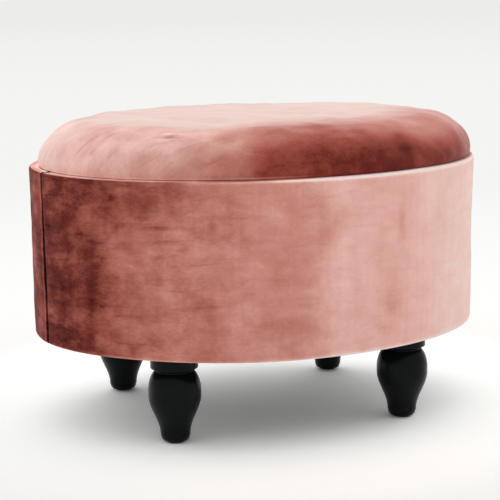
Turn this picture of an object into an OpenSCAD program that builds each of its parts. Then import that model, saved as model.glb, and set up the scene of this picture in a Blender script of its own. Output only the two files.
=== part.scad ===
// Oval footstool: a domed velvet seat set in a straight velvet band, on four turned legs.
// The origin is on the floor under the middle of the oval.
// X runs along the oval, -Y is the front and Z is up.

/* [Overall] */
// Length of the oval over its velvet
stool_w = 540; // [500:5:600]
// Depth of the oval over its velvet
stool_d = 410; // [380:5:460]
// Height of the band, from its lower edge to its rim
band_h = 197; // [160:1:230]
// Straight facets in a full turn of the boards
oval_steps = 96; // [72:8:120]

/* [Seat] */
// Height of the seat's crown over the band's rim
crown_h = 56; // [44:1:70]
// Height of the slow rise inside the rounded shoulder
crown_rise = 4; // [2:0.5:10]
// Width of the rounded shoulder round the crown
shoulder_w = 57; // [40:1:75]
// Height over the rim at which the seat is widest
bulge_z = 6; // [5:0.5:10]
// Distance of the seat's widest line inside the band's face
seat_inset = 6.5; // [4:0.5:9]
// Distance by which the seat over the rim sits to the right
seat_shift = 4; // [0:0.5:5]
// Depth of the deck board's top below the rim
deck_drop = 14; // [10:1:20]
// Thickness of the wadding over the foam
wadding_t = 6; // [4:0.5:9]
// Height of the seat velvet's lower edge over the deck's underside
skirt_rise = 2; // [1:1:6]
// Facets round the seat
seat_steps = 48; // [36:4:60]

/* [Band] */
// Thickness of the velvet with its backing
velvet_t = 1.5; // [1:0.1:2]
// Radius of the velvet at the rim and at the lower edge
edge_r = 3; // [2.5:0.5:5]
// Width of the velvet turned under the base board
hem_w = 16; // [14:1:18]
// Length of the velvet tucked down inside the rim
tuck_h = 9; // [5:1:12]
// Thickness of the foam under the band's velvet
pad_t = 6; // [4:0.5:9]
// Distance of the two end seams in front of the oval's middle
seam_forward = 34; // [0:1:50]
// Width of the groove between the panels at an end seam
seam_gap = 3; // [2:0.5:6]
// Width of the joint between the hardboard walls at an end seam
wall_joint = 1; // [0.5:0.5:3]
// Width of the stiff strip behind an end seam
strip_w = 16; // [12:1:22]
// Thickness of the stiff strip behind an end seam
strip_t = 3; // [2:0.5:3.5]
// Facets along each panel
panel_steps = 40; // [30:2:48]

/* [Frame] */
// Thickness of the base board
base_t = 15; // [12:1:22]
// Thickness of the deck board
deck_t = 15; // [12:1:22]
// Thickness of the bent hardboard walls
wall_t = 3; // [2.5:0.5:5]
// Width of a post along the wall
post_w = 45; // [36:1:60]
// Least thickness of a post, square to the wall
post_t = 30; // [24:1:40]
// Distance of the front and back posts from the middle
post_x = 75; // [50:1:90]
// Thickness of the dust cover
dust_t = 0.8; // [0.5:0.1:1.5]
// Distance of the dust cover's edge inside the band's face
dust_inset = 10; // [6:1:12]

/* [Legs] */
// Height of the legs, glides included
leg_h = 104; // [90:1:130]
// Angle round the oval at which the legs stand, from its long axis
leg_angle = 52; // [40:1:58]
// Distance of the leg centres inside the band's face
leg_inset = 51.5; // [48:0.5:60]
// Diameter of the collar under the base
collar_d = 54; // [48:1:58]
// Height of the collar, with the cove under it
collar_h = 21.5; // [18:0.5:26]
// Height of the cove that runs from the neck out to the collar
cove_h = 4; // [2:0.5:6]
// Diameter of the neck under the collar
neck_d = 43; // [34:1:46]
// Diameter of the leg at its shoulder
shoulder_d = 60; // [50:1:64]
// Height of the shoulder's upper end over the floor
shoulder_z = 60; // [54:1:66]
// Length of the nearly straight stretch at the shoulder
shoulder_len = 5; // [2:1:8]
// Diameter of the ankle
ankle_d = 34; // [28:1:38]
// Height of the ankle over the floor
ankle_z = 9; // [6:1:14]
// Diameter of the foot
foot_d = 31; // [24:1:32]
// Chamfer round the foot and round the collar's top
leg_chamfer = 1.2; // [0.5:0.1:2]

/* [Fixings] */
// Diameter of the leg bolt
bolt_d = 8; // [6:1:10]
// Depth of the leg bolt in the leg
bolt_grip = 36; // [25:1:45]
// Thread of the leg bolt that stands out above its nut
bolt_end = 3; // [1:0.5:8]
// Diameter of the tee nut's flange
nut_flange_d = 22; // [18:1:26]
// Thickness of the tee nut's flange
nut_flange_t = 1.5; // [1:0.25:2.5]
// Wall of the tee nut's barrel
nut_wall = 1.2; // [0.8:0.1:2]
// Length of the tee nut's barrel
nut_len = 10; // [8:0.5:11]
// Thickness of a tee nut's prong
prong_t = 1.2; // [0.8:0.1:1.6]
// Width of a tee nut's prong
prong_w = 3; // [2:0.5:4]
// Length of a tee nut's prong
prong_len = 6; // [4:0.5:8]
// Diameter of a glide
glide_d = 22; // [16:1:23]
// Thickness of a glide
glide_t = 2.5; // [1.5:0.5:4]
// Diameter of a glide's pin
glide_pin_d = 2.5; // [2:0.5:4]
// Length of a glide's pin in the leg
glide_pin_len = 12; // [8:1:18]
// Shank diameter of the frame screws
screw_d = 4; // [3:0.5:5]
// Head diameter of the frame screws
screw_head_d = 8; // [7:0.5:10]
// Length of the frame screws
screw_len = 45; // [35:1:55]
// Shank diameter of the wall screws
wall_screw_d = 3; // [2.5:0.5:4]
// Head diameter of the wall screws
wall_screw_head_d = 6.5; // [6:0.5:7]
// Length of the wall screws
wall_screw_len = 22; // [16:1:26]
// Distance between the two screws in each end of a post
screw_pitch = 27; // [24:1:30]
// Distance of the wall screws from the boards
wall_screw_rise = 30; // [20:1:45]
// Distance of the wall screws from an end seam
wall_screw_edge = 8; // [7:0.5:9]
// Number of staples round the dust cover
staple_count = 36; // [20:2:48]
// Width of a staple
staple_w = 10; // [8:1:12]
// Thickness of a staple's wire
staple_wire = 0.7; // [0.5:0.1:1]
// Length of a staple's legs
staple_len = 8; // [6:0.5:10]
// Distance of the staples inside the band's face
staple_inset = 20.5; // [19:0.5:22]
// Clearance round screws, bolts, nuts, pins and staples
fit_clear = 0.1; // [0.05:0.05:0.2]
// Clearance between layers that lie against each other
lay_gap = 0.3; // [0.2:0.05:0.5]

/* [Hidden] */

half_w = stool_w / 2;
half_d = stool_d / 2;

// Levels, from the floor up
band_z = leg_h + dust_t;
base_z = band_z + velvet_t + lay_gap;
base_top = base_z + base_t;
rim_z = band_z + band_h;
deck_top = rim_z - deck_drop;
deck_z = deck_top - deck_t;
wall_top = rim_z - velvet_t - lay_gap;

// Depths inside the band's face, from the outside in
pad_in = velvet_t + lay_gap;
wall_in = pad_in + pad_t + lay_gap;
wall_back = wall_in + wall_t;
board_in = wall_back + lay_gap;
tuck_in = wall_back + lay_gap;
lip_in = tuck_in + velvet_t;
skirt_in = lip_in + lay_gap;
// Depth of a chord of the seat's faceted outline inside the true curve
seat_chord = half_w * (1 - cos(180 / seat_steps));
deck_in = skirt_in + velvet_t + seat_chord + lay_gap;

// The end seams, as angles round the oval
seam_t = asin(seam_forward / half_d);
// Millimetres of outline for each degree there
seam_rate = norm([half_w * sin(seam_t), half_d * cos(seam_t)]) * PI / 180;
// Angles of the right seam and of the left seam, counted round from +X
seam_right = -seam_t;
seam_left = 180 + seam_t;

// Overhang of cutting tools past the faces that they cut
over = 1;

// Steps of the rounded outlines
leg_facets = 96;
screw_facets = 32;
edge_steps = 3;
bulge_steps = 2;
shoulder_steps = 5;
ankle_steps = 10;
neck_steps = 8;
cove_steps = 5;
strip_steps = 4;

// Exponent of the seat's rounded shoulder: 2 would be a quarter of an ellipse
shoulder_power = 1.8;
// Rise of a deeper layer's widest line, as a share of its depth
layer_rise = 0.6;
// Sizes of the rings between the seat's shoulder and its peak, as shares of the shoulder's
crown_rings = [0.67, 0.34];
// Exponent of the leg's curve from its shoulder in to its neck
neck_power = 0.75;
// Depth of a screw's cross slots, as a share of its head's height
slot_share = 0.6;

// Points on curves that lie a set depth inside the band's face
function face_normal(t) =
    let (n = [cos(t) / half_w, sin(t) / half_d])
    n / norm(n);

function oval_point(t, inset) =
    [half_w * cos(t), half_d * sin(t)] - inset * face_normal(t);

function oval(inset) =
    [for (i = [0 : oval_steps - 1]) oval_point(360 * i / oval_steps, inset)];

// Reach of such a curve along one axis, a set distance off the other
function reach_y(x, inset) = (half_d - inset) * sqrt(1 - pow(x / (half_w - inset), 2));
function reach_x(y, inset) = (half_w - inset) * sqrt(1 - pow(y / (half_d - inset), 2));

// Start and end angles of the front and back panels, a set distance short of the seams
function front_span(short) = [seam_left + short / seam_rate, 360 + seam_right - short / seam_rate];
function back_span(short) = [seam_right + short / seam_rate, seam_left - short / seam_rate];

function seam_span(seam, width) = [seam - width / 2 / seam_rate, seam + width / 2 / seam_rate];
function span_angle(span, i, steps) = span[0] + (span[1] - span[0]) * i / steps;

// A bent sheet between two depths, over part of the oval
module bent_sheet(span, outer, inner, z0, z1, steps = panel_steps) {
    out_line = [for (i = [0 : steps]) oval_point(span_angle(span, i, steps), outer)];
    in_line = [for (i = [0 : steps]) oval_point(span_angle(span, steps - i, steps), inner)];
    translate([0, 0, z0])
        linear_extrude(z1 - z0)
            polygon(concat(out_line, in_line));
}

// A flat board with the oval's outline
module oval_board(inset, z0, thickness) {
    translate([0, 0, z0])
        linear_extrude(thickness)
            polygon(oval(inset));
}

// A closed section, as [depth, height] points, carried along part of the oval
module swept_section(section, span) {
    n = len(section);
    points = [
        for (i = [0 : panel_steps], p = section)
            let (q = oval_point(span_angle(span, i, panel_steps), p[0]))
            [q[0], q[1], p[1]]
    ];
    sides = [
        for (i = [0 : panel_steps - 1], s = [0 : n - 1])
            let (
                a = i * n + s,
                b = i * n + (s + 1) % n,
                c = a + n,
                d = b + n
            )
            each [[b, a, c], [b, c, d]]
    ];
    start_cap = [for (s = [0 : n - 1]) s];
    end_cap = [for (s = [0 : n - 1]) panel_steps * n + n - 1 - s];
    polyhedron(points = points, faces = concat(sides, [start_cap, end_cap]), convexity = 8);
}

// Part of a circle of [depth, height] points about a centre
function arc(centre, r, from, turn, steps) =
    [for (i = [0 : steps]) centre + r * [cos(from + turn * i / steps), sin(from + turn * i / steps)]];

// Section of a band panel, one velvet thick: rim lip, face, hem and the tuck inside the rim
function panel_section() =
    let (
        top_c = [edge_r, rim_z - edge_r],
        low_c = [edge_r, band_z + edge_r],
        inner_r = edge_r - velvet_t
    )
    concat(
        [[lip_in, rim_z]],
        arc(top_c, edge_r, 90, 90, edge_steps),
        arc(low_c, edge_r, 180, 90, edge_steps),
        [[hem_w, band_z], [hem_w, band_z + velvet_t]],
        arc(low_c, inner_r, 270, -90, edge_steps - 1),
        arc(top_c, inner_r, 180, -90, edge_steps - 1),
        [[tuck_in, rim_z - velvet_t], [tuck_in, rim_z - tuck_h], [lip_in, rim_z - tuck_h]]
    );

// Rings of the seat, a set depth under its velvet's face, as [inset, scale, height, shift].
// They go up the skirt, out over the rim, round the shoulder and in over the crown.
function seat_rings(depth, low) =
    let (
        side = skirt_in + depth,
        wide = seat_inset + depth,
        over_rim = rim_z + lay_gap + depth,
        wide_z = rim_z + bulge_z + layer_rise * depth,
        flat_z = rim_z + crown_h - crown_rise - depth,
        power = 2 / shoulder_power
    )
    concat(
        [[side, 1, low, 0]],
        [
            for (i = [0 : bulge_steps])
                let (a = 90 * i / bulge_steps)
                [
                    side - (side - wide) * sin(a),
                    1,
                    over_rim + (wide_z - over_rim) * (1 - cos(a)),
                    seat_shift * sin(a)
                ]
        ],
        [
            for (i = [1 : shoulder_steps])
                let (a = 90 * i / shoulder_steps)
                [
                    wide + shoulder_w * (1 - pow(cos(a), power)),
                    1,
                    wide_z + (flat_z - wide_z) * pow(sin(a), power),
                    seat_shift
                ]
        ],
        [for (s = crown_rings) [wide + shoulder_w, s, flat_z + crown_rise * (1 - s * s), seat_shift]]
    );

function seat_peak(depth) = [seat_shift, 0, rim_z + crown_h - depth];

function ring_points(rings) = [
    for (r = rings, i = [0 : seat_steps - 1])
        let (p = oval_point(360 * i / seat_steps, r[0]) * r[1])
        [p[0] + r[3], p[1], r[2]]
];

// Faces of a stack of rings that starts at one point number, facing out or in
function skin_faces(first, count, outward) = [
    for (k = [0 : count - 2], i = [0 : seat_steps - 1])
        let (
            a = first + k * seat_steps + i,
            b = first + k * seat_steps + (i + 1) % seat_steps,
            c = a + seat_steps,
            d = b + seat_steps
        )
        each outward ? [[a, d, b], [a, c, d]] : [[a, b, d], [a, d, c]]
];

// Faces from one ring to a point above it
function fan_faces(first, peak, outward) = [
    for (i = [0 : seat_steps - 1])
        let (a = first + i, b = first + (i + 1) % seat_steps)
        outward ? [a, peak, b] : [a, b, peak]
];

// A hollow dome between two depths, open below
module dome_shell(outer_depth, inner_depth, low) {
    outer_rings = seat_rings(outer_depth, low);
    inner_rings = seat_rings(inner_depth, low);
    count = len(outer_rings);
    size = count * seat_steps;
    last = size - seat_steps;
    rim = [
        for (i = [0 : seat_steps - 1])
            let (a = i, b = (i + 1) % seat_steps, c = size + a, d = size + b)
            each [[a, b, d], [a, d, c]]
    ];
    polyhedron(
        points = concat(
            ring_points(outer_rings),
            ring_points(inner_rings),
            [seat_peak(outer_depth), seat_peak(inner_depth)]
        ),
        faces = concat(
            skin_faces(0, count, true),
            fan_faces(last, 2 * size, true),
            skin_faces(size, count, false),
            fan_faces(size + last, 2 * size + 1, false),
            rim
        ),
        convexity = 4
    );
}

// A solid dome that stands on a flat face
module dome_block(depth, low) {
    rings = seat_rings(depth, low);
    count = len(rings);
    size = count * seat_steps;
    polyhedron(
        points = concat(ring_points(rings), [seat_peak(depth), [0, 0, low]]),
        faces = concat(
            skin_faces(0, count, true),
            fan_faces(size - seat_steps, size, true),
            fan_faces(0, size + 1, false)
        ),
        convexity = 2
    );
}

// Legs
collar_r = collar_d / 2;
neck_z = leg_h - collar_h;
leg_at = oval_point(leg_angle, leg_inset);
function leg_place(sx, sy) = [sx * leg_at[0], sy * leg_at[1], 0];
leg_corners = [[-1, -1], [1, -1], [-1, 1], [1, 1]];

// A smooth step from one value to another as u goes from 0 to 1
function ease(a, b, u) = a + (b - a) * (1 - cos(180 * u)) / 2;

// Outline of the turned leg: foot, ankle, shoulder, neck, cove and collar
function leg_outline() =
    let (
        foot_r = foot_d / 2,
        ankle_r = ankle_d / 2,
        shoulder_r = shoulder_d / 2,
        neck_r = neck_d / 2,
        belly_z = shoulder_z - shoulder_len
    )
    concat(
        [[0, glide_t], [foot_r - leg_chamfer, glide_t], [foot_r, glide_t + leg_chamfer]],
        [
            for (i = [0 : ankle_steps])
                let (u = i / ankle_steps)
                [ease(ankle_r, shoulder_r, u), ankle_z + (belly_z - ankle_z) * u]
        ],
        [
            for (i = [0 : neck_steps])
                let (u = i / neck_steps)
                [
                    neck_r + (shoulder_r - neck_r) * pow(1 - u * u, neck_power),
                    shoulder_z + (neck_z - shoulder_z) * u
                ]
        ],
        [
            for (i = [1 : cove_steps])
                let (a = 90 * i / cove_steps)
                [neck_r + (collar_r - neck_r) * (1 - cos(a)), neck_z + cove_h * sin(a)]
        ],
        [[collar_r, leg_h - leg_chamfer], [collar_r - leg_chamfer, leg_h], [0, leg_h]]
    );

module leg(sx, sy) {
    color([0.09, 0.09, 0.10])
        translate(leg_place(sx, sy))
            difference() {
                rotate_extrude($fn = leg_facets)
                    polygon(leg_outline());
                translate([0, 0, leg_h - bolt_grip - fit_clear])
                    cylinder(h = bolt_grip + fit_clear + over, d = nut_bore_d, $fn = screw_facets);
                translate([0, 0, glide_t - over])
                    cylinder(
                        h = glide_pin_len + fit_clear + over,
                        d = glide_pin_d + 2 * fit_clear,
                        $fn = screw_facets
                    );
            }
}

// A plastic glide with its pin up in the leg
module glide(sx, sy) {
    color([0.16, 0.16, 0.17])
        translate(leg_place(sx, sy))
            union() {
                rotate_extrude($fn = leg_facets)
                    polygon([
                        [0, 0],
                        [glide_d / 2 - glide_t / 2, 0],
                        [glide_d / 2, glide_t / 2],
                        [glide_d / 2, glide_t],
                        [0, glide_t]
                    ]);
                translate([0, 0, glide_t])
                    cylinder(h = glide_pin_len, d = glide_pin_d, $fn = screw_facets);
            }
}

// Leg bolts, with a wood thread below and a machine thread above
bolt_low = leg_h - bolt_grip;
bolt_tip_d = bolt_d / 3;
bolt_top = base_top + nut_flange_t + bolt_end;

module leg_bolts() {
    color([0.72, 0.72, 0.70])
        for (s = leg_corners)
            translate(leg_place(s[0], s[1]))
                union() {
                    translate([0, 0, bolt_low])
                        cylinder(h = bolt_d, d1 = bolt_tip_d, d2 = bolt_d, $fn = screw_facets);
                    translate([0, 0, bolt_low + bolt_d])
                        cylinder(h = bolt_top - bolt_low - bolt_d, d = bolt_d, $fn = screw_facets);
                }
}

// Tee nuts, pressed into the base board from above
nut_bore_d = bolt_d + 2 * fit_clear;
nut_barrel_d = nut_bore_d + 2 * nut_wall;
nut_hole_d = nut_barrel_d + 2 * fit_clear;
prong_at = (nut_barrel_d + nut_flange_d) / 4;

// Four prongs round a nut, grown by a clearance where they are slots
module prongs(grow) {
    for (a = [45 : 90 : 315])
        rotate(a)
            translate([prong_at - prong_t / 2 - grow, -prong_w / 2 - grow, -prong_len - grow])
                cube([prong_t + 2 * grow, prong_w + 2 * grow, prong_len + grow]);
}

module tee_nuts() {
    color([0.66, 0.67, 0.69])
        for (s = leg_corners)
            translate(leg_place(s[0], s[1]) + [0, 0, base_top])
                difference() {
                    union() {
                        cylinder(h = nut_flange_t, d = nut_flange_d, $fn = screw_facets);
                        translate([0, 0, -nut_len])
                            cylinder(h = nut_len, d = nut_barrel_d, $fn = screw_facets);
                        prongs(0);
                    }
                    translate([0, 0, -nut_len - over])
                        cylinder(h = nut_len + nut_flange_t + 2 * over, d = nut_bore_d, $fn = screw_facets);
                }
}

// Countersunk screw that points up from its head's flat face
module screw(length, d, head_d) {
    head_h = (head_d - d) / 2;
    slot_w = d / 4;
    tip_d = d / 5;
    difference() {
        union() {
            cylinder(h = head_h, d1 = head_d, d2 = d, $fn = screw_facets);
            cylinder(h = length - d, d = d, $fn = screw_facets);
            translate([0, 0, length - d])
                cylinder(h = d, d1 = d, d2 = tip_d, $fn = screw_facets);
        }
        for (a = [0, 90])
            rotate(a)
                translate([-d / 2, -slot_w / 2, -over])
                    cube([d, slot_w, over + slot_share * head_h]);
    }
}

module screw_hole(length, d, head_d) {
    wide_d = d + 2 * fit_clear;
    head_wide_d = head_d + 2 * fit_clear;
    translate([0, 0, -over])
        cylinder(h = over, d = head_wide_d, $fn = screw_facets);
    cylinder(h = (head_d - d) / 2, d1 = head_wide_d, d2 = wide_d, $fn = screw_facets);
    cylinder(h = length + fit_clear, d = wide_d, $fn = screw_facets);
}

// Posts: two in front, two behind and one behind each end seam.
// Each is a box from its inner face outwards, shaped to the wall.
post_z = base_top;
post_h = deck_z - base_top;
post_in_y = reach_y(post_x + post_w / 2, board_in) - post_t;
end_in_x = reach_x(seam_forward + post_w / 2, board_in) - post_t;
long_post_y = post_in_y + post_t / 2;
end_post_x = end_in_x + post_t / 2;

// Middles of the screws in the posts' ends, seen from above
post_screw_places = concat(
    [
        for (sx = [-1, 1], sy = [-1, 1], k = [-1, 1])
            [sx * post_x + k * screw_pitch / 2, sy * long_post_y]
    ],
    [for (sx = [-1, 1], k = [-1, 1]) [sx * end_post_x, -seam_forward + k * screw_pitch / 2]]
);

// Angles at which the wall screws stand round the oval
long_post_t = acos(post_x / half_w);
wall_screw_step = wall_screw_edge / seam_rate;
wall_screw_angles = [
    long_post_t, 180 - long_post_t, 180 + long_post_t, 360 - long_post_t,
    seam_right - wall_screw_step, seam_right + wall_screw_step,
    seam_left - wall_screw_step, seam_left + wall_screw_step
];
wall_screw_levels = [base_top + wall_screw_rise, deck_z - wall_screw_rise];

// Puts its children on the walls' outer face, pointing in
module at_wall(t, z) {
    p = oval_point(t, wall_in);
    n = face_normal(t);
    translate([p[0], p[1], z])
        rotate([0, 90, atan2(-n[1], -n[0])])
            children();
}

module wall_screw_holes() {
    for (t = wall_screw_angles, z = wall_screw_levels)
        at_wall(t, z)
            screw_hole(wall_screw_len, wall_screw_d, wall_screw_head_d);
}

module base_screw_holes() {
    for (p = post_screw_places)
        translate([p[0], p[1], base_z])
            screw_hole(screw_len, screw_d, screw_head_d);
}

module deck_screw_holes() {
    for (p = post_screw_places)
        translate([p[0], p[1], deck_top])
            mirror([0, 0, 1])
                screw_hole(screw_len, screw_d, screw_head_d);
}

// A post that fills the box from one corner to the other, as far as the wall
module post(low, high) {
    color([0.84, 0.69, 0.48])
        difference() {
            intersection() {
                translate([low[0], low[1], post_z])
                    cube([high[0] - low[0], high[1] - low[1], post_h]);
                oval_board(board_in, post_z, post_h);
            }
            base_screw_holes();
            deck_screw_holes();
            wall_screw_holes();
        }
}

module long_post(sx, sy) {
    x = sx * post_x;
    if (sy < 0)
        post([x - post_w / 2, -half_d], [x + post_w / 2, -post_in_y]);
    else
        post([x - post_w / 2, post_in_y], [x + post_w / 2, half_d]);
}

module end_post(sx) {
    low_y = -seam_forward - post_w / 2;
    if (sx < 0)
        post([-half_w, low_y], [-end_in_x, low_y + post_w]);
    else
        post([end_in_x, low_y], [half_w, low_y + post_w]);
}

module leg_front_left() leg(-1, -1);
module leg_front_right() leg(1, -1);
module leg_back_left() leg(-1, 1);
module leg_back_right() leg(1, 1);

module glide_front_left() glide(-1, -1);
module glide_front_right() glide(1, -1);
module glide_back_left() glide(-1, 1);
module glide_back_right() glide(1, 1);

module post_front_left() long_post(-1, -1);
module post_front_right() long_post(1, -1);
module post_back_left() long_post(-1, 1);
module post_back_right() long_post(1, 1);
module post_end_left() end_post(-1);
module post_end_right() end_post(1);

// Places of the staples round the dust cover, as angles that leave the leg collars free
function near_leg(p) =
    min([for (s = leg_corners) let (q = leg_place(s[0], s[1])) norm(p - [q[0], q[1]])])
    < collar_r + staple_wire + over;
staple_angles = [
    for (i = [0 : staple_count - 1])
        let (t = 360 * (i + 0.5) / staple_count)
        if (!near_leg(oval_point(t, staple_inset))) t
];

// Puts its children under the dust cover, with X along the edge
module at_staples() {
    for (t = staple_angles) {
        p = oval_point(t, staple_inset);
        n = face_normal(t);
        translate([p[0], p[1], leg_h])
            rotate(atan2(n[1], n[0]) + 90)
                children();
    }
}

// The two legs of a staple, grown by a clearance where they are holes
module staple_legs(grow) {
    side = staple_wire + 2 * grow;
    for (k = [-1, 1])
        translate([k * (staple_w - staple_wire) / 2 - side / 2, -side / 2, -staple_wire])
            cube([side, side, staple_wire + staple_len + grow]);
}

module dust_staples() {
    color([0.70, 0.70, 0.68])
        at_staples()
            union() {
                translate([-staple_w / 2, -staple_wire / 2, -staple_wire])
                    cube([staple_w, staple_wire, staple_wire]);
                staple_legs(0);
            }
}

module dust_cover() {
    color([0.07, 0.07, 0.08])
        difference() {
            oval_board(dust_inset, leg_h, dust_t);
            for (s = leg_corners)
                translate(leg_place(s[0], s[1]) + [0, 0, leg_h - over])
                    cylinder(h = dust_t + 2 * over, d = nut_hole_d, $fn = screw_facets);
            at_staples()
                staple_legs(fit_clear);
        }
}

module base_board() {
    color([0.80, 0.64, 0.43])
        difference() {
            oval_board(board_in, base_z, base_t);
            for (s = leg_corners)
                translate(leg_place(s[0], s[1]) + [0, 0, base_top]) {
                    translate([0, 0, -base_t - over])
                        cylinder(h = base_t + 2 * over, d = nut_hole_d, $fn = screw_facets);
                    prongs(fit_clear);
                }
            base_screw_holes();
            at_staples()
                staple_legs(fit_clear);
        }
}

module deck_board() {
    color([0.80, 0.64, 0.43])
        difference() {
            oval_board(deck_in, deck_z, deck_t);
            deck_screw_holes();
        }
}

module base_screws() {
    color([0.78, 0.70, 0.42])
        for (p = post_screw_places)
            translate([p[0], p[1], base_z])
                screw(screw_len, screw_d, screw_head_d);
}

module deck_screws() {
    color([0.78, 0.70, 0.42])
        for (p = post_screw_places)
            translate([p[0], p[1], deck_top])
                mirror([0, 0, 1])
                    screw(screw_len, screw_d, screw_head_d);
}

module wall_screws() {
    color([0.78, 0.70, 0.42])
        for (t = wall_screw_angles, z = wall_screw_levels)
            at_wall(t, z)
                screw(wall_screw_len, wall_screw_d, wall_screw_head_d);
}

module wall(span) {
    color([0.55, 0.38, 0.24])
        difference() {
            bent_sheet(span, wall_in, wall_back, base_z, wall_top);
            wall_screw_holes();
        }
}

module front_wall() wall(front_span(wall_joint / 2));
module back_wall() wall(back_span(wall_joint / 2));

// Foam and strips fill the band between its rounded edges
fill_low = band_z + edge_r;
fill_top = rim_z - edge_r;

module pad(span) {
    color([0.93, 0.88, 0.72])
        bent_sheet(span, pad_in, pad_in + pad_t, fill_low, fill_top);
}

module front_pad() pad(front_span(strip_w / 2 + lay_gap));
module back_pad() pad(back_span(strip_w / 2 + lay_gap));

strip_back = wall_in - lay_gap;

module seam_strip(seam) {
    color([0.28, 0.10, 0.10])
        bent_sheet(
            seam_span(seam, strip_w),
            strip_back - strip_t,
            strip_back,
            fill_low,
            fill_top,
            strip_steps
        );
}

module seam_strip_left() seam_strip(seam_left);
module seam_strip_right() seam_strip(seam_right);

module panel(span) {
    color([0.69, 0.40, 0.38])
        swept_section(panel_section(), span);
}

module front_panel() panel(front_span(seam_gap / 2));
module back_panel() panel(back_span(seam_gap / 2));

// Depths of the seat's layers under its velvet's face
wadding_depth = velvet_t + lay_gap;
foam_depth = wadding_depth + wadding_t + lay_gap;

module seat_cover() {
    color([0.78, 0.52, 0.49])
        dome_shell(0, velvet_t, deck_z + skirt_rise);
}

module seat_wadding() {
    color([0.96, 0.96, 0.94])
        dome_shell(wadding_depth, wadding_depth + wadding_t, deck_top + lay_gap);
}

module seat_foam() {
    color([0.95, 0.91, 0.76])
        dome_block(foam_depth, deck_top);
}

leg_front_left();
leg_front_right();
leg_back_left();
leg_back_right();
glide_front_left();
glide_front_right();
glide_back_left();
glide_back_right();
leg_bolts();
tee_nuts();
base_board();
deck_board();
post_front_left();
post_front_right();
post_back_left();
post_back_right();
post_end_left();
post_end_right();
base_screws();
deck_screws();
wall_screws();
front_wall();
back_wall();
seam_strip_left();
seam_strip_right();
front_pad();
back_pad();
front_panel();
back_panel();
seat_foam();
seat_wadding();
seat_cover();
dust_cover();
dust_staples();
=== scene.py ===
"""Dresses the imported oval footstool: velvet seat and band, turned legs, underside and frame.

Lengths are in metres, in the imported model's frame: X along the oval, -Y to the front, Z up.
A place round the oval is a turn in degrees: 0 at the right end, -90 in front, 180 at the left end.
"""

import logging
import math
from dataclasses import dataclass
from enum import Enum
from typing import Optional

import bpy
import numpy as np
from mathutils import Matrix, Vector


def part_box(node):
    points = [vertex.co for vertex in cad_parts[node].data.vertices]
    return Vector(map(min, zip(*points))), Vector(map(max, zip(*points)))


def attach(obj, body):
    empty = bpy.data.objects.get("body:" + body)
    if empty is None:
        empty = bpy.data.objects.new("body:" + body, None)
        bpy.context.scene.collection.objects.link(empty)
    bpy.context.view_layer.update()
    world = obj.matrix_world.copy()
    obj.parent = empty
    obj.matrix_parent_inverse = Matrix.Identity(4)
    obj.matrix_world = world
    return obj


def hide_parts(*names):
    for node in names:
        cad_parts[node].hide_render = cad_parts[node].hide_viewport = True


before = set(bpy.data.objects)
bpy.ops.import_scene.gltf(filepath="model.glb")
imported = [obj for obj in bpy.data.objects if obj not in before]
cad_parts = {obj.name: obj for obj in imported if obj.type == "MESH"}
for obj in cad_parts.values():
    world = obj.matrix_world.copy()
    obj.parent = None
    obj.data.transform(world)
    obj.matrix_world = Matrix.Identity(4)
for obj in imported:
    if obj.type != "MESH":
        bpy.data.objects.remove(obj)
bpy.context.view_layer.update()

MM = 0.001
LOG = logging.getLogger("footstool")


def smooth_step(low: float, high: float, value: np.ndarray) -> np.ndarray:
    """Rises from 0 at low to 1 at high along 3u^2 - 2u^3, and also falls where low is above high."""
    u = np.clip((value - low) / (high - low), 0, 1)
    return u * u * (3 - 2 * u)


def bell(away: np.ndarray, width: float) -> np.ndarray:
    """Bell curve exp(-(away / width)^2)."""
    return np.exp(-((away / width) ** 2))


def turn_gap(turn: np.ndarray, centre: float) -> np.ndarray:
    """Signed degrees from a centre to each turn, the short way round."""
    return (turn - centre + 180) % 360 - 180


def linear(code: str) -> tuple[float, float, float, float]:
    """Turns a written colour into the light values that a shader takes.

    Args:
        code: Six hexadecimal digits, two each for red, green and blue.

    Returns:
        Red, green, blue and an alpha of 1.
    """
    coded = np.array([int(code[i : i + 2], 16) for i in (0, 2, 4)]) / 255
    light = np.where(coded <= 0.04045, coded / 12.92, ((coded + 0.055) / 1.055) ** 2.4)
    return (*light.tolist(), 1.0)


class Drift:
    """A smooth random field: the mean of plane cosine waves with seeded directions."""

    def __init__(self, wavelength: float, seed: int, waves: int = 28) -> None:
        """Draws the waves.

        Args:
            wavelength: Middle wavelength. The waves run from half to twice of it.
            seed: Seed of the draws.
            waves: Number of waves.
        """
        draw = np.random.default_rng(seed)
        heading = draw.normal(size=(waves, 3))
        heading /= np.linalg.norm(heading, axis=1, keepdims=True)
        length = wavelength * 2 ** draw.uniform(-1, 1, (waves, 1))
        self.waves = 2 * math.pi * heading / length
        self.phases = draw.uniform(0, 2 * math.pi, waves)

    def at(self, points: np.ndarray) -> np.ndarray:
        """Looks the field up at points, with a spread of about 1 either way."""
        angle = points @ self.waves.T + self.phases
        return np.cos(angle).sum(axis=-1) * math.sqrt(2 / len(self.phases))


def ripples(points: np.ndarray, seed: int, waves: tuple[tuple[float, float], ...]) -> np.ndarray:
    """Sum of drifts, one for each wavelength and height, with seeds that count up."""
    return sum(height * Drift(length, seed + i).at(points) for i, (length, height) in enumerate(waves))


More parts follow.
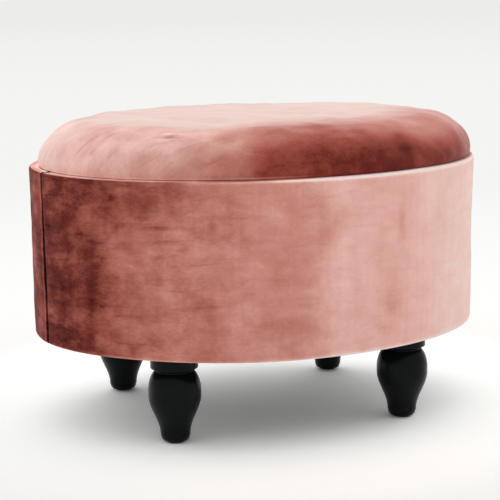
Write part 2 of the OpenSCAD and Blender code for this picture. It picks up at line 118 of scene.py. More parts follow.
def grid_faces(rows: int, columns: int, closed: bool) -> list[list[int]]:
    """Quads between the rows of a grid of points that is stored row by row.

    A quad goes along its lower row, then back along its upper one, so that faces point outwards
    where the columns run anticlockwise seen from above and the rows run up.

    Args:
        rows: Number of rows.
        columns: Number of points in a row.
        closed: Whether the last point of a row joins the first.

    Returns:
        The quads as lists of point numbers.
    """
    j = np.arange(columns if closed else columns - 1)
    k = (j + 1) % columns
    low = np.arange(rows - 1)[:, None] * columns
    quads = np.stack([low + j, low + k, low + columns + k, low + columns + j], axis=-1)
    return quads.reshape(-1, 4).tolist()


def fan_faces(ring: int, columns: int, pole: int, upwards: bool) -> list[list[int]]:
    """Triangles from a ring of points to a pole.

    Args:
        ring: Number of the ring's first point.
        columns: Number of points in the ring.
        pole: Number of the pole's point.
        upwards: Whether the fan faces up.

    Returns:
        The triangles as lists of point numbers.
    """
    j = np.arange(columns)
    k = (j + 1) % columns
    ends = (ring + j, ring + k) if upwards else (ring + k, ring + j)
    return np.stack([*ends, np.full(columns, pole)], axis=-1).tolist()


def dome_faces(rows: int, columns: int, floor: bool) -> list[list[int]]:
    """Faces of a closed grid with a pole on top, which is the first point after the grid.

    Args:
        rows: Number of rows.
        columns: Number of points in a row.
        floor: Whether the next point closes the dome below.

    Returns:
        The faces as lists of point numbers.
    """
    count = rows * columns
    faces = grid_faces(rows, columns, closed=True)
    faces += fan_faces(count - columns, columns, count, upwards=True)
    return faces + (fan_faces(0, columns, count + 1, upwards=False) if floor else [])


def new_piece(
    name: str,
    points: np.ndarray,
    faces: list[list[int]],
    values: Optional[dict[str, np.ndarray]] = None,
    poles: tuple[object, ...] = (),
) -> bpy.types.Object:
    """Makes a smooth-shaded mesh object at the origin.

    Args:
        name: The piece's name.
        points: Points, with their three coordinates last.
        faces: Lists of point numbers.
        values: Attributes by name, with one number or one vector a point.
        poles: Single points that follow the others.

    Returns:
        The new object, linked into the scene.
    """
    mesh = bpy.data.meshes.new(name)
    flat = np.concatenate([points.reshape(-1, 3), np.reshape(poles, (-1, 3))])
    mesh.from_pydata(flat.tolist(), [], faces)
    for key, value in (values or {}).items():
        vector = value.ndim > 1 and value.shape[-1] == 3
        layer = mesh.attributes.new(key, "FLOAT_VECTOR" if vector else "FLOAT", "POINT")
        layer.data.foreach_set("vector" if vector else "value", value.astype(np.float32).ravel())
    mesh.shade_smooth()
    mesh.update()
    piece = bpy.data.objects.new(name, mesh)
    bpy.context.scene.collection.objects.link(piece)
    return piece


def thicken(piece: bpy.types.Object, thickness: float) -> bpy.types.Object:
    """Gives a sheet its thickness, inwards from its outer face.

    Args:
        piece: The sheet.
        thickness: Its thickness.

    Returns:
        The same piece.
    """
    wall = piece.modifiers.new("thickness", "SOLIDIFY")
    wall.thickness = thickness
    wall.offset = -1
    return piece


def raised(plan: np.ndarray, level: np.ndarray) -> np.ndarray:
    """Points from their X and Y, and from heights in the shape of the plan without its last axis."""
    return np.concatenate([plan, (level + 0 * plan[..., 0])[..., None]], axis=-1)


def grid_normals(points: np.ndarray) -> np.ndarray:
    """Outward unit normals of a grid whose rows close on themselves.

    The normal is the cross product of the step along the row and the step up the column.

    Args:
        points: Points as rows, columns and three coordinates.

    Returns:
        The normals in the same shape.
    """
    along = np.roll(points, -1, axis=1) - np.roll(points, 1, axis=1)
    normal = np.cross(along, np.gradient(points, axis=0))
    return normal / np.maximum(np.linalg.norm(normal, axis=-1, keepdims=True), 1e-12)


@dataclass(frozen=True)
class Oval:
    """The band's outline seen from above: an ellipse about the origin.

    Attributes:
        half_w: Half its length.
        half_d: Half its depth.
    """

    half_w: float
    half_d: float

    def normal(self, turn: np.ndarray) -> np.ndarray:
        """Outward normal of the ellipse: (cos/half_w, sin/half_d), made one long.

        Args:
            turn: Turns in degrees.

        Returns:
            The normals' X and Y.
        """
        angle = np.radians(turn)
        n = np.stack([np.cos(angle) / self.half_w, np.sin(angle) / self.half_d], axis=-1)
        return n / np.linalg.norm(n, axis=-1, keepdims=True)

    def point(self, turn: np.ndarray, inset: np.ndarray) -> np.ndarray:
        """X and Y of points a distance inside the ellipse, along its normal.

        Args:
            turn: Turns in degrees.
            inset: Distances inside the outline, in the same shape.

        Returns:
            The points' X and Y.
        """
        angle = np.radians(turn)
        edge = np.stack([self.half_w * np.cos(angle), self.half_d * np.sin(angle)], axis=-1)
        return edge - inset[..., None] * self.normal(turn)

    def turn_of(self, points: np.ndarray) -> np.ndarray:
        """Turn in degrees of points seen from above."""
        return np.degrees(np.arctan2(points[..., 1] / self.half_d, points[..., 0] / self.half_w))

    def inside_of(self, points: np.ndarray) -> np.ndarray:
        """Distance inside the outline: the share of the way left to it, times its radius.

        Args:
            points: Points, of which X and Y count.

        Returns:
            One distance a point.
        """
        turn = np.radians(self.turn_of(points))
        share = np.hypot(points[..., 0] / self.half_w, points[..., 1] / self.half_d)
        return (1 - share) / np.hypot(np.cos(turn) / self.half_w, np.sin(turn) / self.half_d)

    def run(self, start: float, end: float) -> tuple[np.ndarray, np.ndarray]:
        """Table of arc length along the outline between two turns.

        Args:
            start: First turn in degrees.
            end: Last turn in degrees.

        Returns:
            Turns, and the arc length from the first turn to each.
        """
        turn = np.linspace(start, end, 2000)
        step = np.linalg.norm(np.diff(self.point(turn, 0 * turn), axis=0), axis=1)
        return turn, np.concatenate([[0], np.cumsum(step)])


class Graph:
    """Adds nodes to a node tree and joins them."""

    def __init__(self, tree: bpy.types.NodeTree) -> None:
        """Takes the tree that the nodes go into."""
        self.tree = tree

    def fill(self, inputs: object, sources: dict[object, object]) -> None:
        """Links inputs to sockets, or writes plain values into them.

        Args:
            inputs: Input sockets of a node.
            sources: Sockets or plain values, by the input's name or number.
        """
        for key, source in sources.items():
            if isinstance(source, bpy.types.NodeSocket):
                self.tree.links.new(source, inputs[key])
            else:
                inputs[key].default_value = source

    def node(
        self, kind: str, sources: Optional[dict[object, object]] = None, **settings: object
    ) -> bpy.types.bpy_prop_collection:
        """Adds a node and joins it up.

        Args:
            kind: The node's type.
            sources: What fills its inputs.
            settings: Its properties, which are set first.

        Returns:
            The node's output sockets.
        """
        made = self.tree.nodes.new(kind)
        for key, value in settings.items():
            setattr(made, key, value)
        self.fill(made.inputs, sources or {})
        return made.outputs

    def math(self, operation: str, *values: object) -> bpy.types.NodeSocket:
        """Joins two or three values with one Math operation."""
        return self.node("ShaderNodeMath", dict(enumerate(values)), operation=operation)[0]

    def place(self) -> bpy.types.NodeSocket:
        """Object coordinates."""
        return self.node("ShaderNodeTexCoord")["Object"]

    def attribute(self, name: str, output: str = "Fac") -> bpy.types.NodeSocket:
        """Value of one of the piece's attributes."""
        return self.node("ShaderNodeAttribute", attribute_name=name)[output]

    def noise(
        self, vector: object, scale: object, detail: float, rough: float, wind: float = 0.0
    ) -> bpy.types.NodeSocket:
        """Noise value between 0 and 1 on a vector, with its forms wound about by a distortion."""
        sources = {"Vector": vector, "Scale": scale, "Detail": detail, "Roughness": rough, "Distortion": wind}
        return self.node("ShaderNodeTexNoise", sources)["Fac"]

    def stretched(self, vector: object, *stretch: float) -> bpy.types.NodeSocket:
        """A vector with each coordinate multiplied."""
        return self.node("ShaderNodeVectorMath", {0: vector, 1: stretch}, operation="MULTIPLY")[0]

    def step(self, value: object, low: float, high: float) -> bpy.types.NodeSocket:
        """A smooth step from 0 at low to 1 at high."""
        sources = {"Value": value, "From Min": low, "From Max": high}
        return self.node("ShaderNodeMapRange", sources, interpolation_type="SMOOTHSTEP")["Result"]

    def ramp(self, value: object, stops: dict[float, str]) -> bpy.types.NodeSocket:
        """Adds a colour ramp.

        Args:
            value: What it looks up.
            stops: Written colours by their places on it.

        Returns:
            The colour.
        """
        output = self.node("ShaderNodeValToRGB", {0: value})[0]
        bar = output.node.color_ramp
        bar.interpolation = "LINEAR"
        places = sorted(stops)
        for element, place in zip(bar.elements, (places[0], places[-1])):
            element.position = place
            element.color = linear(stops[place])
        for place in places[1:-1]:
            bar.elements.new(place).color = linear(stops[place])
        return output

    def bump(self, height: object, distance: float, strength: float = 1.0) -> bpy.types.NodeSocket:
        """Normal from a height between 0 and 1 that stands a distance proud."""
        sources = {"Height": height, "Distance": distance, "Strength": strength}
        return self.node("ShaderNodeBump", sources)["Normal"]


def new_group(name: str, values: tuple[str, ...], vectors: tuple[str, ...]) -> tuple[Graph, object]:
    """Starts a shader node group that puts out a tone and a height.

    Args:
        name: The group's name.
        values: Names of its inputs that are numbers.
        vectors: Names of its inputs that are vectors.

    Returns:
        The group's graph and its input sockets.
    """
    tree = bpy.data.node_groups.new(name, "ShaderNodeTree")
    number, vector = "NodeSocketFloat", "NodeSocketVector"
    for keys, direction, kind in (
        (values, "INPUT", number), (vectors, "INPUT", vector), (("Tone", "Height"), "OUTPUT", number)
    ):
        for key in keys:
            tree.interface.new_socket(key, in_out=direction, socket_type=kind)
    graph = Graph(tree)
    return graph, graph.node("NodeGroupInput")


def end_group(graph: Graph, tone: object, height: object) -> bpy.types.NodeTree:
    """Joins a group's tone and height to its outputs and returns its tree."""
    graph.node("NodeGroupOutput", {"Tone": tone, "Height": height})
    return graph.tree


class Effects:
    """The node groups that several finishes share, each built once."""

    def __init__(self) -> None:
        """Builds the groups."""
        self.pile = self._pile()
        self.grain = self._grain()
        self.speckle = self._speckle()

    @staticmethod
    def _pile() -> bpy.types.NodeTree:
        """Velvet: blotches, brushed wisps, upright ribs and fine tufts on a tone with painted light and
        shade.

        Each noise less its middle, times its strength, is added to the nap. Blotches, mottle and
        wisps also grow with the stir, which says how roughly the pile lies. A wisp is dark, and
        is there only where its noise is low. The height is the tufts' noise.

        Returns:
            The group.
        """
        numbers = ("Nap_with_painted_light", "Stir", "Mottle", "Wisp", "Rib")
        graph, entry = new_group("velvet_pile", numbers, ("Place", "Along"))
        place, along = entry["Place"], entry["Along"]
        mottle = graph.math("MULTIPLY", entry["Mottle"], entry["Stir"])
        blotch = graph.noise(place, 15.0, 3.0, 0.55, 0.4)
        cloud = graph.noise(graph.stretched(along, 40.0, 1.0, 60.0), 1.0, 2.5, 0.5, 0.4)
        speck = graph.noise(graph.stretched(along, 190.0, 1.0, 330.0), 1.0, 2.0, 0.6, 0.5)
        rib = graph.noise(graph.stretched(along, 150.0, 1.0, 7.0), 1.0, 2.0, 0.5)
        tuft = graph.noise(place, 1500.0, 2.0, 0.5)
        tone = entry["Nap_with_painted_light"]
        for noise, strength in ((blotch, 1.25), (cloud, 0.9), (speck, 0.45)):
            lift = graph.math("MULTIPLY", graph.math("SUBTRACT", noise, 0.5), mottle)
            tone = graph.math("MULTIPLY_ADD", lift, strength, tone)
        low = graph.noise(graph.stretched(along, 17.0, 1.0, 125.0), 1.0, 3.0, 0.55, 0.7)
        wisp = graph.math("MULTIPLY", graph.math("MINIMUM", graph.math("SUBTRACT", low, 0.44), 0.0), 4.0)
        wisp = graph.math("MULTIPLY", wisp, entry["Stir"])
        tone = graph.math("MULTIPLY_ADD", wisp, entry["Wisp"], tone)
        for noise, strength in ((rib, entry["Rib"]), (tuft, 0.14)):
            tone = graph.math("MULTIPLY_ADD", graph.math("SUBTRACT", noise, 0.5), strength, tone)
        return end_group(graph, tone, tuft)

    @staticmethod
    def _grain() -> bpy.types.NodeTree:
        """Wood grain: noise drawn out along the board, with fine pores on it.

        Returns:
            The group.
        """
        graph, entry = new_group("wood_grain", ("Scale",), ("Place",))
        bands = graph.noise(graph.stretched(entry["Place"], 1.0, 9.0, 9.0), entry["Scale"], 5.0, 0.6)
        pores = graph.noise(graph.stretched(entry["Place"], 30.0, 900.0, 900.0), 1.0, 2.0, 0.5)
        tone = graph.math("MULTIPLY_ADD", pores, 0.25, graph.math("MULTIPLY", bands, 0.8))
        return end_group(graph, tone, pores)

    @staticmethod
    def _speckle() -> bpy.types.NodeTree:
        """Fine even grain, for foam, fibre sheets, plastic and plated steel.

        Returns:
            The group.
        """
        graph, entry = new_group("fine_speckle", ("Scale",), ("Place",))
        fine = graph.noise(entry["Place"], entry["Scale"], 3.0, 0.6)
        broad = graph.noise(entry["Place"], 20.0, 2.0, 0.5)
        tone = graph.math("MULTIPLY_ADD", fine, 0.6, graph.math("MULTIPLY", broad, 0.4))
        return end_group(graph, tone, fine)


def new_material(name: str) -> tuple[bpy.types.Material, Graph, object]:
    """Starts a material that holds one Principled shader.

    Args:
        name: The material's name.

    Returns:
        The material, its graph and the shader's input sockets.
    """
    made = bpy.data.materials.new(name)
    made.use_nodes = True
    shader = next(n for n in made.node_tree.nodes if n.type == "BSDF_PRINCIPLED")
    return made, Graph(made.node_tree), shader.inputs


@dataclass(frozen=True)
class Velvet:
    """Short-pile velvet, whose tone goes from dark to pale with painted light and shade and the pile's marks.

    Attributes:
        name: The material's name.
        stops: Written colours by tone.
        mottle: Strength of the blotches.
        wisp: Strength of the brushed wisps.
        rib: Strength of the upright ribs.
        sheen: Weight of the pile's sheen.
        painted_sheen: Written colour of the painted sheen, which its attribute mixes in.
        relief: Height of the tufts.
    """

    name: str
    stops: tuple[tuple[float, str], ...]
    mottle: float
    wisp: float
    rib: float
    sheen: float
    painted_sheen: str = "E6D4CB"
    relief: float = 0.25 * MM

    def material(self, effects: Effects) -> bpy.types.Material:
        """Builds the material.

        Args:
            effects: The shared node groups.

        Returns:
            The new material.
        """
        made, graph, shader = new_material(self.name)
        sources = {
            "Nap_with_painted_light": graph.attribute("nap_with_painted_light"), "Stir": graph.attribute("stir"), "Place": graph.place(),
            "Along": graph.attribute("along", "Vector"),
            "Mottle": self.mottle, "Wisp": self.wisp, "Rib": self.rib,
        }
        pile = graph.node("ShaderNodeGroup", sources, node_tree=effects.pile)
        palest = self.stops[-1][0]
        share = graph.math("DIVIDE", pile["Tone"], palest)
        colour = graph.ramp(share, {tone / palest: code for tone, code in self.stops})
        # Painted sheen: a pale colour mixed in by its attribute.
        mix = {"Factor": graph.attribute("painted_sheen"), 6: colour, 7: linear(self.painted_sheen)}
        graph.fill(shader, {
            "Base Color": graph.node("ShaderNodeMix", mix, data_type="RGBA")[2],
            "Normal": graph.bump(pile["Height"], self.relief, 0.6),
            "Roughness": 0.92,
            "Specular IOR Level": 0.12,
            "Sheen Weight": self.sheen,
            "Sheen Roughness": 0.32,
            "Sheen Tint": linear("FFF4F2"),
        })
        return made


@dataclass(frozen=True)
class Grained:
    """A finish with two shades of speckle or grain, and a fine surface.

    Attributes:
        name: The material's name.
        dark: Written colour of the darker shade.
        pale: Written colour of the paler shade.
        scale: Scale of the pattern, per metre.
        rough: Roughness.
        relief: Height of the surface's relief.
        wood: Whether the pattern is drawn out as wood grain.
        metal: Metallic share.
        gloss: Specular level.
    """

    name: str
    dark: str
    pale: str
    scale: float
    rough: float
    relief: float
    wood: bool = False
    metal: float = 0.0
    gloss: float = 0.5

    def material(self, effects: Effects) -> bpy.types.Material:
        """Builds the material.

        Args:
            effects: The shared node groups.

        Returns:
            The new material.
        """
        made, graph, shader = new_material(self.name)
        sources = {"Place": graph.place(), "Scale": self.scale}
        tree = effects.grain if self.wood else effects.speckle
        pattern = graph.node("ShaderNodeGroup", sources, node_tree=tree)
        graph.fill(shader, {
            "Base Color": graph.ramp(pattern["Tone"], {0.3: self.dark, 0.7: self.pale}),
            "Normal": graph.bump(pattern["Height"], self.relief),
            "Roughness": self.rough,
            "Metallic": self.metal,
            "Specular IOR Level": self.gloss,
        })
        return made


# Ramps from dark to pale; the stop at 1.12 is for painted highlights such as the band's rim.
DEEP = ((0.0, "240705"), (0.08, "5E211A"))
ROSY = (
    *DEEP, (0.17, "712A20"), (0.36, "A85145"), (0.56, "C47A6D"),
    (0.78, "DDA194"), (1.0, "FCCCC2"), (1.12, "FFE9E3"),
)
DUSKY = (
    *DEEP, (0.17, "6F2C24"), (0.36, "A3574B"), (0.56, "C4796C"),
    (0.78, "E19E91"), (1.0, "FCCABF"), (1.12, "FFE9E3"),
)
FINISHES = {
    "seat": Velvet("seat_velvet", ROSY, 0.28, 0.12, 0.0, 0.5),
    "band": Velvet("band_velvet", DUSKY, 0.34, 0.11, 0.08, 0.08),
    "strip": Grained("seam_strip_cloth", "2A0B09", "4A1712", 900, 0.95, 0.1 * MM),
    "black": Grained("black_lacquer", "090C0D", "0F1314", 260, 0.22, 0.02 * MM, gloss=0.09),
    "glide": Grained("glide_plastic", "131314", "1C1C1E", 700, 0.55, 0.05 * MM),
    "zinc": Grained("zinc_steel", "9B9D9E", "C4C6C6", 420, 0.36, 0.02 * MM, metal=1.0),
    "yellow": Grained("yellow_zinc", "B09043", "D8C27E", 420, 0.34, 0.02 * MM, metal=1.0),
    "plywood": Grained("plywood", "B78955", "DDB988", 12, 0.7, 0.1 * MM, wood=True),
    "pine": Grained("pine", "C99A5B", "E8CD9C", 9, 0.65, 0.1 * MM, wood=True),
    "hardboard": Grained("hardboard", "5B3A22", "84573A", 240, 0.6, 0.05 * MM),
    "foam": Grained("foam", "DDCB93", "F1E6BD", 700, 0.95, 0.4 * MM),
    "wadding": Grained("wadding", "DEDDD8", "F5F5F2", 160, 1.0, 0.8 * MM),
    "dust": Grained("dust_cloth", "0B0B0C", "1B1B1D", 620, 0.9, 0.15 * MM, gloss=0.2),
}


def dress(
    piece: bpy.types.Object, finish: bpy.types.Material, slot: str, *stands_for: str
) -> bpy.types.Object:
    """Gives a new piece its finish and its body, and hides the nodes that it stands for.

    Args:
        piece: The piece.
        finish: Its material.
        slot: Not used.
        stands_for: Names of the CAD nodes that it replaces.

    Returns:
        The same piece.
    """
    piece.data.materials.append(finish)
    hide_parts(*stands_for)
    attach(piece, "root")
    LOG.info("%s: %d faces, for %s", piece.name, len(piece.data.polygons), ", ".join(stands_for))
    return piece


@dataclass(frozen=True)
class NapMark:
    """A soft oval spot of lighter or darker tone, with a dent where it is pressed; on a crease, darker marks
    are painted shade and paler ones painted highlights.

    Attributes:
        turn: Place round the oval, in degrees.
        level: Height over the floor on the band, or distance inside the outline on the seat.
        length: Half length round the oval.
        width: Half width across it.
        tone: Change of the nap's tone, below 0 where it is darker.
        dent: Depth of the dent that goes with it.
    """

    turn: float
    level: float
    length: float
    width: float
    tone: float
    dent: float

    def weight(self, turn: np.ndarray, level: np.ndarray, pace: float) -> np.ndarray:
        """Product of the bell curves round the oval and across it.

        Args:
            turn: Turns in degrees.
            level: Heights, or distances inside the outline.
            pace: Length for each radian of turn.

        Returns:
            The mark's weight at each place.
        """
        along = np.radians(turn_gap(turn, self.turn)) * pace
        return bell(along, self.length) * bell(level - self.level, self.width)


def nap_marks(*rows: tuple[float, ...]) -> tuple[NapMark, ...]:
    """Makes marks from rows of their fields.

    Args:
        rows: The fields' values, with lengths in millimetres.

    Returns:
        The marks.
    """
    return tuple(
        NapMark(turn, level * MM, length * MM, width * MM, tone, dent * MM)
        for turn, level, length, width, tone, dent in rows
    )


@dataclass(frozen=True)
class Band:
    """The upright velvet band: two panels that meet at the end seams, over thin foam.

    Attributes:
        oval: The outline of its face.
        low: Height of its lower edge.
        rim: Height of its rim.
        marks: Spots of tone on it, and creases with painted shade and highlights.
        seam_forward: Distance of the end seams in front of the middle.
        seam_gap: Width of the gap between the panels' ends.
        roll: Radius of the velvet where it turns in at a seam.
        edge: Radius of the velvet at the rim and at the lower edge.
        lip: Depth of the velvet's inner face inside the rim.
        tuck: Length of the velvet that goes down inside the rim.
        hem: Width of the velvet turned under.
        turn_in: Depth to which the velvet goes in at a seam.
        flare: Amount by which the rim stands out over the lower edge.
        sag: Depth by which the soft lower edge hangs below the hem, away from the left end.
        cloth: Thickness of the velvet.
        foam_in: Depth of the foam's outer face.
        foam: Thickness of the foam.
        strip: Half width of the stiff strip behind a seam.
        waves: Wavelength and height of its slow and its short ripples.
        left_painted_shade: Tone at the left end, where shade is painted.
        painted_light_steps: Rises of the painted light towards the right, each from one turn to another by an
            amount.
    """

    oval: Oval
    low: float
    rim: float
    marks: tuple[NapMark, ...]
    seam_forward: float = 34 * MM
    seam_gap: float = 3 * MM
    roll: float = 2.6 * MM
    edge: float = 3 * MM
    lip: float = 12.9 * MM
    tuck: float = 9 * MM
    hem: float = 16 * MM
    turn_in: float = 4.4 * MM
    flare: float = 2 * MM
    sag: float = 2.3 * MM
    cloth: float = 1.5 * MM
    foam_in: float = 1.8 * MM
    foam: float = 6 * MM
    strip: float = 8.3 * MM
    waves: tuple[tuple[float, float], ...] = ((0.13, 0.35 * MM), (0.035, 0.16 * MM))
    left_painted_shade: float = 0.19
    painted_light_steps: tuple[tuple[float, float, float], ...] = (
        (-165, -152, 0.06), (-150, -139, 0.25), (-136, -120, 0.14),
        (-118, -98, 0.09), (-96, -82, 0.18), (-75, -40, 0.10),
    )

    def spans(self) -> dict[str, tuple[float, float]]:
        """Turns at which each panel starts and ends, from seam to seam."""
        seam = math.degrees(math.asin(self.seam_forward / self.oval.half_d))
        return {"front": (-180 + seam, -seam), "back": (-seam, 180 + seam)}

    def flat_size(self, side: str) -> tuple[float, float]:
        """Length and height of a panel's velvet laid flat: seam to seam, and hem to tuck."""
        length = self.oval.run(*self.spans()[side])[1][-1]
        return length, self.rim - self.low + self.hem + self.lip + self.tuck

    def lean_out(self, height: np.ndarray) -> np.ndarray:
        """Depth that the flare adds: half the flare outwards at the rim, half inwards below."""
        share = np.clip((height - self.low) / (self.rim - self.low), 0, 1)
        return self.flare * (0.5 - share)

    def section(self) -> np.ndarray:
        """Outline of the velvet across the band.

        It runs out along the hem, round a quarter circle, up the face, round a quarter circle and
        in over the rim, then down inside it.

        Returns:
            Depth and height of its points, from hem to tuck.
        """
        quarter = np.linspace(0, math.pi / 2, 7)
        corner = self.edge * (1 - np.sin(quarter))
        rise = self.edge * (1 - np.cos(quarter))
        hem = np.linspace(self.hem, self.edge, 6)[:-1]
        face = np.linspace(self.low + self.edge, self.rim - self.edge, 76)[1:-1]
        lip = np.linspace(self.edge, self.lip - 1 * MM, 5)[1:]
        tuck = np.linspace(self.rim - 1 * MM, self.rim - self.tuck, 4)
        depth = [hem, corner, 0 * face, corner[::-1], lip, 0 * tuck + self.lip]
        height = [0 * hem + self.low, self.low + rise, face, self.rim - rise[::-1], 0 * lip + self.rim, tuck]
        return np.stack([np.concatenate(depth), np.concatenate(height)], axis=-1)

    def run(self, length: float) -> np.ndarray:
        """Outline of the velvet along a panel.

        Each end goes straight out from its turned-in edge, then round a quarter circle.

        Args:
            length: Arc length from seam to seam.

        Returns:
            Arc length and depth of its points, between the turned-in ends.
        """
        quarter = np.linspace(0, math.pi / 2, 7)
        inside = np.linspace(self.turn_in, self.roll, 4)[:-1]
        arc = self.roll * (1 - np.cos(quarter))
        depth = self.roll * (1 - np.sin(quarter))
        start = self.seam_gap / 2
        ends = np.concatenate([0 * inside, arc]) + start
        face = np.linspace(start + self.roll, length - start - self.roll, 241)[1:-1]
        end_depth = np.concatenate([inside, depth])
        place = np.concatenate([ends, face, length - ends[::-1]])
        return np.stack([place, np.concatenate([end_depth, 0 * face, end_depth[::-1]])], axis=-1)

    def nap_with_painted_light(self, turn: np.ndarray, height: np.ndarray) -> np.ndarray:
        """Tone with painted shade at the left end and painted light rising in stages to the right, with the
        marks on it.

        The steps are the same in front and at the back. Painted shade makes the right end and the middle
        of the back a little darker again.

        Args:
            turn: Turns in degrees.
            height: Heights.

        Returns:
            The tone at each place.
        """
        from_left = -np.abs(turn)
        tone = self.left_painted_shade + 0 * height
        for start, end, rise in self.painted_light_steps:
            tone = tone + rise * smooth_step(start, end, from_left)
        tone = tone - 0.12 * smooth_step(-34, -16, from_left)
        tone = tone - 0.10 * smooth_step(16, 50, turn) * smooth_step(168, 130, turn)
        for mark in self.marks:
            tone = tone + mark.tone * mark.weight(turn, height, self.pace(mark.turn))
        return tone

    def pace(self, turn: float) -> float:
        """Arc length for each radian of turn at a place on the outline."""
        angle = math.radians(turn)
        return math.hypot(self.oval.half_w * math.sin(angle), self.oval.half_d * math.cos(angle))

    def with_painted_edge_light(self, turn: np.ndarray, height: np.ndarray, cross: np.ndarray) -> tuple[np.ndarray, np.ndarray]:
        """Tone with painted highlights on the rolled rim and lower edge, and a painted tone on top of the
        rim.

        Args:
            turn: Turns in degrees.
            height: Heights.
            cross: Depths that the section gives.

        Returns:
            The tone, and the share of each point that is on top of the rim.
        """
        from_left = -np.abs(turn)
        painted_rim_light = bell(height - self.rim + 0.8 * MM, 1.6 * MM)
        painted_low_highlight = bell(height - self.low - 0.8 * MM, 1.8 * MM)
        lit = smooth_step(-113, -84, from_left)
        soft = smooth_step(-128, -113, from_left)
        tone = self.nap_with_painted_light(turn, height)
        # Painted highlight along the rolled rim, strongest towards the front right and slightly dark at the
        # left, and a painted highlight along the lower edge.
        tone = tone + painted_rim_light * (-0.06 + 0.20 * soft + 0.46 * lit) + (0.22 + 0.14 * lit) * painted_low_highlight
        # Painted tone on top of the rim: light at the left that lifts the shade of the gap under the seat,
        # darker near turn -109, a highlight towards the front right, and painted shade towards the right end.
        painted_rim_top_tone = 0.80 - 0.36 * bell(from_left + 109, 9)
        painted_rim_top_tone += 0.24 * smooth_step(-95, -80, from_left) - 0.47 * smooth_step(-60, -42, from_left)
        painted_rim_top_tone += 0.3 * smooth_step(6 * MM, 10 * MM, cross) * smooth_step(-115, -130, from_left)
        top = smooth_step(1.2 * MM, 3.4 * MM, cross) * smooth_step(self.rim - 1.5 * MM, self.rim, height)
        return tone + top * (painted_rim_top_tone - tone), top

    def panel(self, side: str, seed: int) -> bpy.types.Object:
        """Builds one panel as a sheet of velvet.

        The depth at a point is the fourth root of the sum of the fourth powers of the depths that
        the run and the section give, so that the two roundings blend at the corners. Ripples and
        the marks' dents are added to it, and the lower edge hangs down. The tone has painted shade
        in the gap at a seam and where the velvet turns in, and a painted highlight on the back
        panel's rolled edge there.

        Args:
            side: Name of the panel's side.
            seed: Seed of its ripples.

        Returns:
            The panel.
        """
        back = side == "back"
        turns, lengths = self.oval.run(*self.spans()[side])
        place, end_depth = self.run(lengths[-1]).T[:, None]
        section = self.section()
        cross = section[:, :1]
        turn = turn_gap(np.interp(place, lengths, turns) + 0 * cross, 0)
        height = section[:, 1:] + 0 * turn
        from_left = -np.abs(turn)
        face = np.clip(1 - cross / self.edge, 0, 1) * np.clip(1 - end_depth / self.roll, 0, 1)
        ripple = ripples(raised(self.oval.point(turn, 0 * turn), height), seed, self.waves)
        for mark in self.marks:
            ripple = ripple + mark.dent * mark.weight(turn, height, self.pace(mark.turn))
        depth = (end_depth**4 + cross**4) ** 0.25 + self.lean_out(height) + ripple * face
        hang = self.sag * smooth_step(-142, -98, from_left) * smooth_step(9 * MM, 4 * MM, cross)
        level = height - hang * smooth_step(self.low + 30 * MM, self.low, height)
        tone, top = self.with_painted_edge_light(turn, height, cross)
        from_end = np.minimum(place, lengths[-1] - place) - self.seam_gap / 2
        # Painted shade in the gap at the seams, a painted highlight on the back panel's rolled edge, and
        # painted shade where the velvet turns in.
        painted_groove_shade = smooth_step((1.5 if back else 2.8) * MM, 0.7 * MM, from_end)
        painted_ridge_highlight = (0.14 if back else 0) * bell(from_end - 2.4 * MM, 1.4 * MM)
        painted_tuck_shade = smooth_step(self.edge, 2.2 * self.edge, depth) * (1 - top)
        values = {
            "nap_with_painted_light": (tone + painted_ridge_highlight) * (1 - painted_groove_shade) * (1 - 0.55 * painted_tuck_shade),
            "stir": 0.45 + 1.05 * smooth_step(-60, -150, from_left),
            # Painted sheen towards the right end.
            "painted_sheen": 0.36 * smooth_step(-72, -38, from_left),
            "along": np.stack([place + 0 * height, 0 * height, height], axis=-1),
        }
        points = raised(self.oval.point(turn, depth), level)
        faces = grid_faces(*turn.shape, closed=False)
        return thicken(new_piece(f"{side}_band_velvet", points, faces, values), self.cloth)

    def padding(self, side: str) -> bpy.types.Object:
        """Builds the foam under one panel: a closed sheet bent round the oval.

        Its section is a rectangle whose outer face follows the flare.

        Args:
            side: Name of the panel's side.

        Returns:
            The foam sheet.
        """
        turns, lengths = self.oval.run(*self.spans()[side])
        place = np.linspace(self.strip, lengths[-1] - self.strip, 121)
        height = np.array([self.low + self.edge, self.rim - self.edge])
        outer = self.foam_in + np.maximum(self.lean_out(height), 0)
        inner = np.full(2, self.foam_in + self.foam)
        depth = np.concatenate([outer, inner])[:, None]
        turn = np.interp(place, lengths, turns) + 0 * depth
        level = np.concatenate([height, height[::-1]])[:, None]
        points = raised(self.oval.point(turn, depth + 0 * turn), level)
        columns = len(place)
        faces = grid_faces(4, columns, closed=False)
        j = np.arange(columns - 1)
        faces += np.stack([3 * columns + j, 3 * columns + j + 1, j + 1, j], axis=-1).tolist()
        faces += [[0, columns, 2 * columns, 3 * columns]]
        faces += [[(i + 1) * columns - 1 for i in (3, 2, 1, 0)]]
        piece = new_piece(f"{side}_band_foam", points, faces)
        piece.data.shade_flat()
        bevel = piece.modifiers.new("edges", "BEVEL")
        bevel.width = 0.6 * MM
        bevel.segments = 2
        bevel.limit_method = "ANGLE"
        return piece


